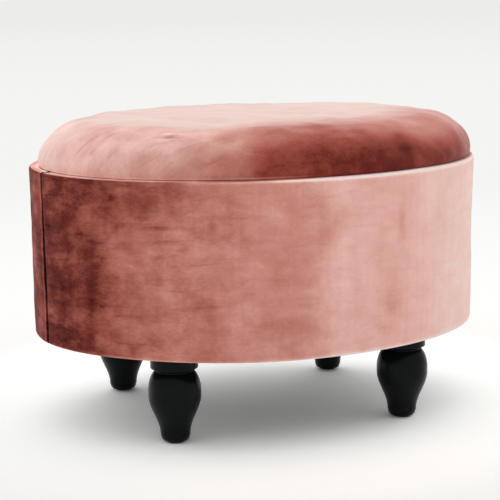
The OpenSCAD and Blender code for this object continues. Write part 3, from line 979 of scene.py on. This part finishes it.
@dataclass(frozen=True)
class Seat:
    """The domed seat: a velvet cover over wadding and a block of foam.

    Attributes:
        oval: The outline of the band's face.
        low: Height of the cover's lower edge.
        deck: Height of the deck that carries the foam.
        rim: Height of the band's rim.
        peak: Height of the seat's middle.
        marks: Spots of tone and pressed places, with painted shade and highlights on the crease.
        skirt: Depth of the cover inside the band.
        inset: Depth of its widest line inside the band's face.
        wide: Height of its widest line over the rim.
        shoulder: Width of its rounded shoulder.
        rise: Height of the slow rise inside the shoulder.
        power: Exponent of the shoulder's superellipse.
        under: Exponent of the superellipse between the rim and the widest line.
        shift: Distance by which the seat over the rim sits to the right.
        pale: Tone of the nap on the crown.
        cloth: Thickness of the cover.
        wadding: Thickness of the wadding.
        gap: Clearance between layers.
        columns: Points round the oval.
        waves: Wavelength and height of its slow and its short ripples.
        seed: Seed of its ripples.
    """

    oval: Oval
    low: float
    deck: float
    rim: float
    peak: float
    marks: tuple[NapMark, ...]
    skirt: float = 13.2 * MM
    inset: float = 6.5 * MM
    wide: float = 6 * MM
    shoulder: float = 57 * MM
    rise: float = 4 * MM
    power: float = 1.8
    under: float = 3.5
    shift: float = 4 * MM
    pale: float = 0.70
    cloth: float = 1.5 * MM
    wadding: float = 6 * MM
    gap: float = 0.3 * MM
    columns: int = 288
    waves: tuple[tuple[float, float], ...] = ((0.09, 0.5 * MM), (0.03, 0.2 * MM))
    seed: int = 31

    def dome(self, shrink: float = 0.0) -> tuple[np.ndarray, np.ndarray]:
        """Works out the seat's outer face.

        The profile goes straight up the skirt and out over the rim round a quarter of a full
        superellipse. Then it follows a softer one over the shoulder and a parabola over the crown.

        Args:
            shrink: Amount by which the shape is smaller than the finished seat.

        Returns:
            The grid of points, and the pole.
        """
        quarter = np.linspace(0, math.pi / 2, 9)
        wide = self.inset + 0.5 * shrink
        over = self.rim + self.gap
        wide_z = self.rim + self.wide
        flat_z = self.peak - self.rise - shrink
        skirt_z = np.array([self.low, self.deck, self.deck + self.gap, (self.deck + over) / 2])
        out = (1 - np.cos(quarter) ** self.under) ** (1 / self.under)
        bulge_in = self.skirt - (self.skirt - wide) * out
        bulge_z = over + (wide_z - over) * (1 - np.cos(quarter))
        a = np.linspace(0, math.pi / 2, 31)[1:]
        power = 2 / self.power
        shoulder_in = wide + (self.shoulder + 0.5 * shrink) * (1 - np.abs(np.cos(a)) ** power)
        shoulder_z = wide_z + (flat_z - wide_z) * np.sin(a) ** power
        scale = np.linspace(1, 0, 34)[1:-1]
        inset = np.concatenate([0 * skirt_z + self.skirt, bulge_in, shoulder_in, 0 * scale + shoulder_in[-1]])
        level = np.concatenate([skirt_z, bulge_z, shoulder_z, flat_z + self.rise * (1 - scale**2)])
        size = np.concatenate([np.ones(len(skirt_z) + len(quarter) + len(a)), scale])
        aside = np.concatenate([0 * skirt_z, out, 1 + 0 * a, 1 + 0 * scale]) * self.shift
        turn = np.linspace(0, 360, self.columns, endpoint=False)[None, :] + 0 * inset[:, None]
        plan = self.oval.point(turn, inset[:, None] + 0 * turn) * size[:, None, None]
        plan[..., 0] += aside[:, None]
        return raised(plan, level[:, None]), np.array([self.shift, 0, flat_z + self.rise])

    @staticmethod
    def left(turn: np.ndarray) -> np.ndarray:
        """Share of the left part, from the front left round the left end and the back."""
        return smooth_step(-106, -130, turn) + smooth_step(60, 100, turn)

    @staticmethod
    def sweep(turn: np.ndarray) -> np.ndarray:
        """Share of the sweep of painted shade at the front right."""
        return smooth_step(-118, -99, turn) * smooth_step(20, -20, turn)

    def nap_with_painted_light(self, points: np.ndarray) -> np.ndarray:
        """Tone of the pile with painted light and shade, without the marks.

        It has painted light on the left shoulder and end, a sweep of painted shade at the front right
        and a weaker one across from it, over the back left shoulder, and it is darker low at the front
        left. At its foot the left part has painted light, which lifts the shade in the gap over the rim.

        Args:
            points: Points of the seat.

        Returns:
            The tone at each point.
        """
        turn = self.oval.turn_of(points)
        inside = self.oval.inside_of(points) / MM
        # Painted light on the left shoulder and the left end.
        tone = self.pale + 0.22 * self.left(turn) * smooth_step(74, 36, inside)
        tone = tone + 0.05 * smooth_step(160, 172, np.abs(turn)) * smooth_step(80, 40, inside)
        low = smooth_step(-150, -120, turn) * smooth_step(-96, -108, turn) * smooth_step(28, 8, inside)
        tone = self.painted_shade_sweep(tone - 0.15 * low, turn, inside, 1.0)
        tone = self.painted_shade_sweep(tone, turn_gap(turn, 180), inside, 0.5)
        # Painted light at the foot of the left part, which lifts the shade in the gap over the band's rim.
        foot = smooth_step(self.rim + 4 * MM, self.rim + 1 * MM, points[..., 2])
        side = smooth_step(-84, -110, turn) + smooth_step(60, 100, turn)
        return tone + foot * side * (1.05 - tone)

    def painted_shade_sweep(
        self, tone: np.ndarray, turn: np.ndarray, inside: np.ndarray, strength: float
    ) -> np.ndarray:
        """Paints shade on the pile in one sweep.

        The painted shade deepens in three stages from the crown down: over the whole sweep, in its
        middle, and along the rim, where it goes on to one dark tone that is paler towards the sweep's ends.

        Args:
            tone: Tone before the sweep.
            turn: Turns in degrees, with the sweep's middle near -70.
            inside: Millimetres inside the outline.
            strength: Share by which it darkens.

        Returns:
            The tone after the sweep.
        """
        middle = 0.11 * bell(turn + 86, 17)
        upper = 0.11 * smooth_step(122, 72, inside) + middle * smooth_step(80, 50, inside)
        upper = self.sweep(turn) * upper
        right = smooth_step(-75, -40, turn)
        early = 4 * bell(turn + 70, 12)
        rim = smooth_step(33 + early - 12 * right, 8 + 0.6 * early - 5 * right, inside)
        rim = rim * smooth_step(-111, -101, turn) * smooth_step(10, -25, turn)
        dark = 0.31 - 0.12 * bell(turn + 70, 30)
        tone = tone - strength * upper
        return tone + strength * rim * (dark - tone)

    def painted_sheen(self, points: np.ndarray) -> np.ndarray:
        """Share of painted sheen: most on the crown, some on the left shoulder and end, less in the sweep.

        Args:
            points: Points of the seat.

        Returns:
            The share at each point.
        """
        turn = self.oval.turn_of(points)
        inside = self.oval.inside_of(points) / MM
        crown = smooth_step(40, 80, inside)
        end = smooth_step(158, 172, np.abs(turn))
        painted_shade_sweep = self.sweep(turn) * smooth_step(122, 72, inside)
        return (0.64 * crown + (0.07 * self.left(turn) + 0.24 * end) * (1 - crown)) * (1 - 0.7 * painted_shade_sweep)

    def stir(self, turn: np.ndarray, inside: np.ndarray) -> np.ndarray:
        """Roughness of the pile's lie: less on the crown and on the right shoulder in front."""
        right = smooth_step(-78, -60, turn) * smooth_step(30, 0, turn) * smooth_step(80 * MM, 40 * MM, inside)
        return 1.1 - 0.7 * smooth_step(60 * MM, 110 * MM, inside) - 0.4 * right

    def flat_map(self, points: np.ndarray, pole: np.ndarray) -> np.ndarray:
        """Spreads the dome out flat, for the pattern: its distance from the pole, the way it lies.

        Args:
            points: The outer face, row by row from its lower edge up.
            pole: The top point.

        Returns:
            The flat places, with 0 as their second coordinate.
        """
        rays = np.concatenate([points, pole + 0 * points[:1]])[::-1]
        step = np.linalg.norm(np.diff(rays, axis=0), axis=-1)
        far = np.cumsum(step, axis=0)[::-1]
        plan = (points - pole)[..., :2]
        plan = plan / np.linalg.norm(plan, axis=-1, keepdims=True) * far[..., None]
        return np.stack([plan[..., 0], 0 * far, plan[..., 1]], axis=-1)

    def cover(self) -> tuple[bpy.types.Object, np.ndarray, np.ndarray]:
        """Builds the velvet cover, blown out by a cloth simulation, with ripples and the marks' dents.

        Returns:
            The cover, its outer points and its pole.
        """
        points, pole = self.dome()
        swell = Swell(pinned_below=self.rim + 4 * MM)
        start, start_pole = self.dome(swell.start_smaller)
        moves = swell.moves(start, start_pole, np.concatenate([start.reshape(-1, 3), [start_pole]]))
        plan, points = points, start + moves[:-1].reshape(start.shape)
        far = np.linalg.norm(points - plan, axis=-1) / MM
        LOG.info("the blown seat lies %.1f mm from its plan on average", far.mean())
        LOG.info("the blown seat lies %.1f mm from its plan at most", far.max())
        pole = start_pole + moves[-1]
        turn = self.oval.turn_of(points)
        inside = self.oval.inside_of(points)
        ripple = ripples(points, self.seed, self.waves)
        tone = self.nap_with_painted_light(points)
        for mark in self.marks:
            weight = mark.weight(turn, inside, self.oval.half_d - mark.level)
            ripple = ripple - mark.dent * weight
            tone = tone + mark.tone * weight
        free = smooth_step(self.rim + 2 * MM, self.rim + 14 * MM, points[..., 2])
        points = points + (free * ripple)[..., None] * grid_normals(points)
        values = {
            "nap_with_painted_light": tone,
            "stir": self.stir(turn, inside),
            "painted_sheen": self.painted_sheen(points),
            "along": self.flat_map(points, pole),
        }
        for key, value in values.items():
            flat = value.reshape(turn.size, -1)
            top = flat[-self.columns :].mean(axis=0, keepdims=True)
            values[key] = np.concatenate([flat, top]).squeeze()
        faces = dome_faces(*turn.shape, floor=False)
        piece = new_piece("seat_velvet_cover", points, faces, values, (pole,))
        return thicken(piece, self.cloth), points, pole

    def layer(
        self, name: str, points: np.ndarray, pole: np.ndarray, depth: float, thick: Optional[float]
    ) -> bpy.types.Object:
        """Builds a layer under the cover, its outer face a depth under the cover's along the normal.

        Args:
            name: The layer's name.
            points: The cover's outer points.
            pole: The cover's pole.
            depth: Depth of the layer's outer face.
            thick: Its thickness, or None for a block that fills the rest.

        Returns:
            The layer as a closed piece.
        """
        first = 2 if thick else 1
        outer = (points - depth * grid_normals(points))[first:]
        outer[0, :, 2] = self.deck + (self.gap if thick else 0)
        top = pole - [0, 0, depth]
        faces = dome_faces(*outer.shape[:2], floor=not thick)
        if thick:
            return thicken(new_piece(name, outer, faces, poles=(top,)), thick)
        below = [*outer[0, :, :2].mean(axis=0), self.deck]
        return new_piece(name, outer, faces, poles=(top, below))


@dataclass(frozen=True)
class Swell:
    """A cloth simulation that blows a closed soft form out a little.

    Attributes:
        pinned_below: Height under which the cloth is held fast.
        start_smaller: Amount by which the form starts smaller.
        cell: Size of the remeshed cells.
        pressure: Pressure inside.
        hold: Share by which the filling holds the cloth above that height.
        grip: Stiffness of the hold.
        slack: Share by which the cloth is cut wider than the form.
        frames: Frames that the simulation runs.
        cap: Furthest that a point may move.
        parts: Number of parts in which the moves are carried over, to save memory.
    """

    pinned_below: float
    start_smaller: float = 2 * MM
    cell: float = 6 * MM
    pressure: float = 4.0
    hold: float = 0.25
    grip: float = 0.05
    slack: float = 0.015
    frames: int = 20
    cap: float = 4 * MM
    parts: int = 60

    def moves(self, grid: np.ndarray, pole: np.ndarray, wanted: np.ndarray) -> np.ndarray:
        """Runs the simulation and carries its moves over to other points.

        Args:
            grid: Rows of points of the form, from its lower edge up.
            pole: The form's top point.
            wanted: Points to carry the moves to.

        Returns:
            One move for each wanted point.
        """
        floor = grid[0].mean(axis=0)
        form = new_piece("swell_form", grid, dome_faces(*grid.shape[:2], floor=True), poles=(pole, floor))
        remesh = form.modifiers.new("cells", "REMESH")
        remesh.mode = "VOXEL"
        remesh.voxel_size = self.cell
        depsgraph = bpy.context.evaluated_depsgraph_get()
        mesh = bpy.data.meshes.new_from_object(form.evaluated_get(depsgraph))
        body = bpy.data.objects.new("swell_body", mesh)
        bpy.context.scene.collection.objects.link(body)
        before = self.places(mesh)
        held = body.vertex_groups.new(name="held")
        low = before[:, 2] < self.pinned_below
        held.add(np.flatnonzero(low).tolist(), 1.0, "REPLACE")
        held.add(np.flatnonzero(~low).tolist(), self.hold, "REPLACE")
        cloth = body.modifiers.new("cloth", "CLOTH")
        cloth.settings.use_pressure = True
        cloth.settings.uniform_pressure_force = self.pressure
        cloth.settings.vertex_group_mass = "held"
        cloth.settings.pin_stiffness = self.grip
        cloth.settings.shrink_min = -self.slack
        cloth.settings.effector_weights.gravity = 0
        cloth.settings.quality = 4
        cloth.point_cache.frame_start = 1
        cloth.point_cache.frame_end = self.frames
        for step in range(1, self.frames + 1):
            bpy.context.scene.frame_set(step)
        blown = body.evaluated_get(bpy.context.evaluated_depsgraph_get()).to_mesh()
        move = self.places(blown) - before
        bpy.context.scene.frame_set(1)
        far = np.linalg.norm(move, axis=1, keepdims=True)
        LOG.info("cloth moved %.1f mm on average, %.1f mm at most", far.mean() / MM, far.max() / MM)
        move = move * np.minimum(1, self.cap / np.maximum(far, 1e-9))
        for thing in (form, body):
            bpy.data.objects.remove(thing)
        return self.carried(before, move, wanted)

    @staticmethod
    def places(mesh: bpy.types.Mesh) -> np.ndarray:
        """Reads a mesh's points.

        Args:
            mesh: The mesh.

        Returns:
            One row of three coordinates a point.
        """
        flat = np.empty(len(mesh.vertices) * 3, np.float32)
        mesh.vertices.foreach_get("co", flat)
        return flat.reshape(-1, 3).astype(float)

    def carried(self, before: np.ndarray, move: np.ndarray, wanted: np.ndarray) -> np.ndarray:
        """Mean of the moves near each wanted point, weighted by a bell curve of the distance.

        Args:
            before: Points of the cloth before the simulation.
            move: Their moves.
            wanted: Points to carry the moves to.

        Returns:
            One move for each wanted point.
        """
        spread = 2 * (1.4 * self.cell) ** 2
        out = []
        for part in np.array_split(wanted, self.parts):
            away = ((part[:, None, :] - before[None, :, :]) ** 2).sum(-1)
            weight = np.exp(-away / spread) + 1e-30
            out.append(weight @ move / weight.sum(axis=1, keepdims=True))
        return np.concatenate(out)


@dataclass(frozen=True)
class Leg:
    """One turned leg, with the hole for its bolt above and for its glide's pin below.

    Attributes:
        place: The axis, as X and Y.
        foot_z: Height of its foot.
        top: Height of its top.
        bolt_z: Height of the bolt's lower end.
        pin_z: Height of the glide pin's upper end.
        collar: Radius of the collar.
        neck: Radius of the neck.
        shoulder: Radius of the shoulder.
        ankle: Radius of the ankle.
        foot: Radius of the foot.
        collar_h: Height of the collar, with the cove under it.
        cove: Height of the cove.
        shoulder_z: Height of the shoulder's upper end.
        belly: Length of the nearly straight stretch at the shoulder.
        ankle_z: Height of the ankle.
        chamfer: Chamfer of both ends.
        bolt: Radius of the bolt's hole.
        pin: Radius of the pin's hole.
        columns: Points round the leg.
    """

    place: tuple[float, float]
    foot_z: float
    top: float
    bolt_z: float
    pin_z: float
    collar: float = 27 * MM
    neck: float = 21.5 * MM
    shoulder: float = 30 * MM
    ankle: float = 17 * MM
    foot: float = 15.5 * MM
    collar_h: float = 21.5 * MM
    cove: float = 4 * MM
    shoulder_z: float = 60 * MM
    belly: float = 5 * MM
    ankle_z: float = 9 * MM
    chamfer: float = 1.2 * MM
    bolt: float = 4.1 * MM
    pin: float = 1.35 * MM
    columns: int = 128

    def outline(self) -> np.ndarray:
        """Outline of the leg: down the pin's hole, up the outside and down the bolt's hole.

        From the ankle to the shoulder the radius follows a half cosine. Above the shoulder it is
        the neck's radius plus the rest times (1 - v^2) to the power 0.75, with v the share of the
        way up to the neck, and the cove is a quarter ellipse.

        Returns:
            Radius and height of its points.
        """
        u = np.linspace(0, 1, 33)
        belly_z = self.shoulder_z - self.belly
        swell_r = self.ankle + (self.shoulder - self.ankle) * (1 - np.cos(math.pi * u)) / 2
        swell_z = self.ankle_z + (belly_z - self.ankle_z) * u
        v = np.sin(np.linspace(0, math.pi / 2, 25))
        neck_z = self.top - self.collar_h
        over_r = self.neck + (self.shoulder - self.neck) * (1 - v**2) ** 0.75
        over_z = self.shoulder_z + (neck_z - self.shoulder_z) * v
        a = np.linspace(0, math.pi / 2, 11)[1:]
        cove_r = self.neck + (self.collar - self.neck) * (1 - np.cos(a))
        cove_z = neck_z + self.cove * np.sin(a)
        start = [
            (0, self.pin_z), (self.pin, self.pin_z), (self.pin, self.foot_z),
            (self.foot - self.chamfer, self.foot_z), (self.foot, self.foot_z + self.chamfer),
        ]
        end = [
            (self.collar, self.top - self.chamfer), (self.collar - self.chamfer, self.top),
            (self.bolt, self.top), (self.bolt, self.bolt_z), (0, self.bolt_z),
        ]
        radius = np.concatenate([swell_r, over_r, cove_r])
        level = np.concatenate([swell_z, over_z, cove_z])
        return np.concatenate([start, np.stack([radius, level], axis=-1), end])

    def build(self, name: str) -> bpy.types.Object:
        """Turns the outline round the leg's axis into a closed piece.

        Args:
            name: The piece's name.

        Returns:
            The leg.
        """
        line = self.outline()
        radius, level = line[1:-1, :1], line[1:-1, 1:]
        angle = np.linspace(0, 2 * math.pi, self.columns, endpoint=False)
        plan = np.array(self.place) + radius[..., None] * np.stack([np.cos(angle), np.sin(angle)], axis=-1)
        poles = ([*self.place, line[-1, 1]], [*self.place, line[0, 1]])
        piece = new_piece(name, raised(plan, level), dome_faces(*plan.shape[:2], floor=True), poles=poles)
        piece.data.set_sharp_from_angle(angle=math.radians(32))
        return piece


@dataclass(frozen=True)
class DustCloth:
    """The thin black cloth stapled under the base.

    Attributes:
        oval: The outline of the band's face.
        inset: Distance of its edge inside the band's face.
        low: Height of its lower face.
        thick: Its thickness.
        legs: Axes of the legs.
        staples: Number of staples round it.
        staple_inset: Distance of the staples inside the band's face.
        sag: Depth of the slack between what holds it.
        wave: Height of the short waves that run in from the staples.
    """

    oval: Oval
    inset: float
    low: float
    thick: float
    legs: tuple[tuple[float, float], ...]
    staples: int = 36
    staple_inset: float = 20.5 * MM
    sag: float = 1.1 * MM
    wave: float = 0.25 * MM

    def build(self) -> bpy.types.Object:
        """Builds the sheet as rings from its middle out.

        It hangs down by the sag, less near the staples' line and near each leg, and short waves
        run in from the staples.

        Returns:
            The cloth.
        """
        share = np.linspace(0, 1, 49)[1:, None]
        turn = np.linspace(0, 360, 288, endpoint=False) + 0 * share
        plan = self.oval.point(turn, self.inset + 0 * turn) * share[..., None]
        from_edge = (1 - share) * self.oval.half_d
        held = smooth_step(self.staple_inset - self.inset, 70 * MM, from_edge)
        for leg in self.legs:
            away = np.linalg.norm(plan - np.array(leg), axis=-1)
            held = held * smooth_step(28 * MM, 60 * MM, away)
        waves = np.cos(np.radians(turn - 5) * self.staples) * bell(from_edge - 24 * MM, 14 * MM)
        near = smooth_step(12 * MM, 18 * MM, from_edge)
        level = self.low + self.thick - (self.sag + self.wave * near * (1 + waves)) * held
        rows, columns = level.shape
        faces = [face[::-1] for face in grid_faces(rows, columns, closed=True)]
        faces += fan_faces(0, columns, rows * columns, upwards=True)
        middle = [0, 0, level[0].mean()]
        return thicken(new_piece("dust_cloth", raised(plan, level), faces, poles=(middle,)), self.thick)


@dataclass(frozen=True)
class Studio:
    """Floor, light and camera.

    Attributes:
        eye: The camera's place.
        heading: Its heading from +Y towards +X, in degrees.
        pitch: Its tilt below the horizon, in degrees.
        roll: Its roll, in degrees.
        lens: Focal length for a sensor 36 mm wide.
        front: Light level of the dome low in front.
        over: Rise of the level overhead and behind.
        behind: Further rise low behind.
        right: Rise to the right, and fall to the left.
        reach: Half the width of the floor.
        floor_colour: Written colour of the floor.
        painted_floor_light_steps: Painted light on the seen floor, each change of its level from one distance
            to another by an amount.
        white: Light level of the background that the camera, metal and glass see.
    """

    eye: tuple[float, float, float] = (-0.6014, -1.7171, 0.5238)
    heading: float = 19.063
    pitch: float = 10.414
    roll: float = -0.655
    lens: float = 110.15
    front: float = 0.5
    over: float = 0.65
    behind: float = 1.0
    right: float = 0.14
    reach: float = 30.0
    floor_colour: str = "F0F1EF"
    painted_floor_light_steps: tuple[tuple[float, float, float], ...] = (
        (0.5, 0.15, 0.50), (0.6, 2.2, -0.08), (2.2, 16.0, -0.07),
    )
    white: float = 0.84

    def camera(self) -> None:
        """Makes the camera at the photograph's viewing angle."""
        yaw, tilt, roll = (math.radians(v) for v in (self.heading, self.pitch, self.roll))
        ahead = np.array([math.sin(yaw) * math.cos(tilt), math.cos(yaw) * math.cos(tilt), -math.sin(tilt)])
        level = np.array([math.cos(yaw), -math.sin(yaw), 0.0])
        upright = np.cross(level, ahead)
        right = math.cos(roll) * level + math.sin(roll) * upright
        up = -math.sin(roll) * level + math.cos(roll) * upright
        data = bpy.data.cameras.new("camera")
        data.lens = self.lens
        data.sensor_width = 36
        camera = bpy.data.objects.new("camera", data)
        bpy.context.scene.collection.objects.link(camera)
        turned = np.eye(4)
        turned[:3, :4] = np.stack([right, up, -ahead, np.array(self.eye)], axis=-1)
        camera.matrix_world = Matrix(turned.tolist())
        bpy.context.scene.camera = camera

    def floor(self) -> None:
        """Makes a wide pale floor, clear from below so that the underside can be looked at.

        Its colour has painted light near the stool, which lifts the stool's shadow, and is darker far off,
        for the rays that see it.
        """
        corners = np.array([[-1, -1, 0], [1, -1, 0], [1, 1, 0], [-1, 1, 0]]) * self.reach
        floor = new_piece("floor", corners, [[0, 1, 2, 3]])
        made = bpy.data.materials.new("pale_floor")
        made.use_nodes = True
        graph = Graph(made.node_tree)
        away = graph.node("ShaderNodeVectorMath", {0: graph.place()}, operation="LENGTH")["Value"]
        level = 1.0
        # Painted light near the stool, less far off.
        for near, far, change in self.painted_floor_light_steps:
            level = graph.math("MULTIPLY_ADD", graph.step(away, near, far), change, level)
        level = graph.math("MULTIPLY_ADD", graph.math("SUBTRACT", level, 1.0), self.seen(graph), 1.0)
        colour = {0: linear(self.floor_colour)[:3], "Scale": level}
        shade = graph.node("ShaderNodeVectorMath", colour, operation="SCALE")["Vector"]
        surface = graph.node("ShaderNodeMixShader", {
            "Fac": graph.node("ShaderNodeNewGeometry")["Backfacing"],
            1: graph.node("ShaderNodeBsdfDiffuse", {"Color": shade})["BSDF"],
            2: graph.node("ShaderNodeBsdfTransparent")["BSDF"],
        })["Shader"]
        end = next(n for n in made.node_tree.nodes if n.type == "OUTPUT_MATERIAL")
        graph.fill(end.inputs, {"Surface": surface})
        floor.data.materials.append(made)

    def light(self) -> None:
        """Lights the object from a soft dome that is stronger behind and at the right."""
        world = bpy.data.worlds.new("studio")
        bpy.context.scene.world = world
        world.use_nodes = True
        graph = Graph(world.node_tree)
        x, y, z = graph.node("ShaderNodeSeparateXYZ", {0: graph.node("ShaderNodeTexCoord")["Generated"]})
        over = graph.step(graph.math("MULTIPLY_ADD", z, 0.9, y), -0.35, 0.45)
        low = graph.math("MULTIPLY", graph.step(y, 0.4, 0.8), graph.step(z, 0.9, 0.4))
        level = self.front
        for part, rise in ((over, self.over), (x, self.right), (low, self.behind)):
            level = graph.math("MULTIPLY_ADD", part, rise, level)
        mix = {"Factor": self.seen(graph), "A": level, "B": self.white}
        strength = graph.node("ShaderNodeMix", mix, data_type="FLOAT")["Result"]
        sky = next(n for n in world.node_tree.nodes if n.type == "BACKGROUND")
        graph.fill(sky.inputs, {"Strength": strength, "Color": (1, 1, 1, 1)})

    @staticmethod
    def seen(graph: Graph) -> bpy.types.NodeSocket:
        """Tells the rays that see the background from those that only light the object.

        Args:
            graph: Graph that the nodes go into.

        Returns:
            1 on camera, glossy and transmission rays, and 0 on the others.
        """
        path = graph.node("ShaderNodeLightPath")
        both = graph.math("MAXIMUM", path["Is Camera Ray"], path["Is Glossy Ray"])
        return graph.math("MAXIMUM", both, path["Is Transmission Ray"])


class Side(Enum):
    """The two panels of the band."""

    FRONT = "front"
    BACK = "back"


# Front left, from the creases below the rim down, with painted shade in their dents and
# painted highlights beside them. Then front middle and right, and the back.
BAND_MARKS = nap_marks(
    (-133, 288, 62, 17, -0.17, 0),
    (-144, 275, 14, 14, -0.08, 0),
    (-132, 262, 9, 1.3, -0.20, 0.4),
    (-128.5, 252, 22, 1.5, -0.26, 0.7),
    (-127, 247, 20, 1.8, 0.08, 0),
    (-125, 236.5, 12, 1.5, -0.22, 0.6),
    (-127, 231, 18, 3.0, 0.08, 0),
    (-118, 262, 14, 1.2, -0.12, 0.3),
    (-109, 262, 9, 1.2, -0.14, 0.3),
    (-115, 251, 5, 6, -0.12, 0),
    (-152, 240, 7, 1.8, -0.12, 0.4),
    (-145, 232, 14, 2.0, -0.12, 0.4),
    (-141, 227, 10, 1.4, -0.14, 0.4),
    (-141, 283, 5, 3, -0.12, 0),
    (-140, 212, 10, 12, 0.06, 0),
    (-122, 229, 5, 5, -0.12, 0),
    (-129, 197, 10, 8, -0.13, 0),
    (-158, 178, 14, 11, -0.10, 0),
    (-149, 150, 5, 34, -0.07, 0),
    (-148, 215, 4, 40, -0.05, 0),
    (-154, 225, 5, 40, 0.07, 0),
    (-67, 244, 6, 20, -0.11, 0),
    (-69, 158, 17, 18, -0.11, 0),
    (-89, 246, 7, 24, -0.07, 0),
    (-95, 136, 24, 11, -0.10, 0),
    (-84, 286, 18, 14, 0.09, 0),
    (-111, 170, 16, 34, 0.05, 0),
    (-90, 165, 18, 34, 0.045, 0),
    (-90, 262, 18, 26, -0.04, 0),
    (-84, 180, 10, 40, 0.04, 0),
    (40, 230, 26, 2.0, -0.12, 0.5),
    (75, 180, 30, 24, -0.09, 0),
    (118, 250, 34, 2.0, -0.12, 0.5),
    (142, 285, 40, 15, -0.12, 0),
    (150, 150, 20, 26, 0.08, 0),
)
# The crease on the left shoulder, with painted highlights above and below and painted shade in its
# dent, spots of lighter and darker tone along the front, and two hollows at the right.
SEAT_MARKS = nap_marks(
    (-130.5, 41.5, 5.5, 1.8, 0.24, -0.7),
    (-130, 37, 6, 2.2, -0.40, 0.6),
    (-131, 32.5, 6, 1.8, 0.10, 0),
    (-108, 12, 11, 8, 0.13, 0),
    (-88, 42, 13, 7, 0.12, 0),
    (-73, 36, 8, 6, -0.13, 0),
    (-116, 15, 7, 7, 0.07, 0),
    (-63, 9, 9, 5, -0.09, 0),
    (-150, 38, 11, 6, -0.10, 0),
    (-134, 14, 7, 5, -0.12, 0),
    (-119, 20, 9, 6, -0.10, 0),
    (-113, 30, 8, 10, -0.08, 0),
    (-108, 32, 12, 14, 0.10, 0),
    (-140, 42, 9, 7, 0.05, 0),
    (-158, 22, 10, 7, 0.06, 0),
    (-50, 38, 16, 8, 0.06, 0),
    (-34, 18, 14, 9, -0.11, 0),
    (-62, 22, 8, 5, -0.12, 0),
    (-110, 22, 9, 7, 0.06, 0),
    (-111, 84, 10, 10, -0.08, 0),
    (-77, 14, 14, 7, 0.03, 0),
    (25, 56, 62, 28, 0.0, 0.9),
    (2, 50, 40, 24, 0.0, 1.4),
)
CORNERS = ("front_left", "front_right", "back_left", "back_right")
PLAIN_NODES = {
    "glide": tuple(f"glide_{corner}" for corner in CORNERS),
    "zinc": ("leg_bolts", "tee_nuts", "dust_staples"),
    "yellow": ("base_screws", "deck_screws", "wall_screws"),
    "plywood": ("base_board", "deck_board"),
    "pine": tuple(f"post_{corner}" for corner in (*CORNERS, "end_left", "end_right")),
    "hardboard": ("front_wall", "back_wall"),
    "strip": ("seam_strip_left", "seam_strip_right"),
}


def dress_plain_nodes(finishes: dict[str, bpy.types.Material]) -> None:
    """Gives every CAD node that stays its finish.

    Args:
        finishes: Materials by the finish's key.
    """
    for finish, nodes in PLAIN_NODES.items():
        for name in nodes:
            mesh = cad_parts[name].data
            mesh.materials.clear()
            mesh.materials.append(finishes[finish])
        LOG.info("%s finish on %s", finish, ", ".join(nodes))


def build_band(oval: Oval, finishes: dict[str, bpy.types.Material]) -> Band:
    """Builds both panels of the band with their foam.

    Args:
        oval: The outline of the band's face.
        finishes: Materials by the finish's key.

    Returns:
        The band.
    """
    band_low, band_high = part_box("back_panel")
    band = Band(oval, band_low.z, band_high.z, BAND_MARKS)
    for number, side in enumerate(Side):
        panel = band.panel(side.value, 11 + 10 * number)
        dress(panel, finishes["band"], "band_velvet", f"{side.value}_panel")
        foam = dress(band.padding(side.value), finishes["foam"], "foam", f"{side.value}_pad")
        band.flat_size(side.value)
    return band


def build_seat(oval: Oval, rim: float, finishes: dict[str, bpy.types.Material]) -> None:
    """Builds the seat's cover, wadding and foam.

    Args:
        oval: The outline of the band's face.
        rim: Height of the band's rim.
        finishes: Materials by the finish's key.
    """
    seat_low, seat_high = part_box("seat_cover")
    seat = Seat(oval, seat_low.z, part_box("deck_board")[1].z, rim, seat_high.z, SEAT_MARKS)
    cover, points, pole = seat.cover()
    dress(cover, finishes["seat"], "seat_velvet", "seat_cover")
    wadding_depth = seat.cloth + seat.gap
    foam_depth = wadding_depth + seat.wadding + seat.gap
    wadding = seat.layer("seat_wadding_layer", points, pole, wadding_depth, seat.wadding)
    dress(wadding, finishes["wadding"], "wadding", "seat_wadding")
    block = seat.layer("seat_foam_block", points, pole, foam_depth, None)
    dress(block, finishes["foam"], "foam", "seat_foam")


def build_legs(finishes: dict[str, bpy.types.Material]) -> tuple[tuple[float, float], ...]:
    """Builds the four turned legs.

    Args:
        finishes: Materials by the finish's key.

    Returns:
        The legs' axes, as X and Y.
    """
    places = []
    bolt_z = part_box("leg_bolts")[0].z
    for corner in CORNERS:
        low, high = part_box(f"leg_{corner}")
        pin_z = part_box(f"glide_{corner}")[1].z
        place = ((low.x + high.x) / 2, (low.y + high.y) / 2)
        leg = Leg(place, low.z, high.z, bolt_z - 0.1 * MM, pin_z + 0.1 * MM)
        dress(leg.build(f"turned_leg_{corner}"), finishes["black"], "leg_black", f"leg_{corner}")
        places.append(place)
    return tuple(places)


def build_dust_cloth(
    oval: Oval, legs: tuple[tuple[float, float], ...], finishes: dict[str, bpy.types.Material]
) -> None:
    """Builds the dust cloth round the legs.

    Args:
        oval: The outline of the band's face.
        legs: Axes of the legs.
        finishes: Materials by the finish's key.
    """
    low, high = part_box("dust_cover")
    dust = DustCloth(oval, oval.half_w - high.x, low.z, high.z - low.z, legs)
    cloth = dress(dust.build(), finishes["dust"], "dust_cloth", "dust_cover")


def main() -> None:
    """Builds and dresses the stool, then the studio."""
    logging.basicConfig(level=logging.INFO, format="%(name)s: %(message)s")
    effects = Effects()
    finishes = {key: finish.material(effects) for key, finish in FINISHES.items()}
    band_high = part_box("back_panel")[1]
    oval = Oval(band_high.x, band_high.y)
    band = build_band(oval, finishes)
    build_seat(oval, band.rim, finishes)
    build_dust_cloth(oval, build_legs(finishes), finishes)
    dress_plain_nodes(finishes)
    studio = Studio()
    studio.camera()
    studio.floor()
    studio.light()
    bpy.context.scene.view_settings.view_transform = "Standard"


if __name__ == "__main__":
    main()
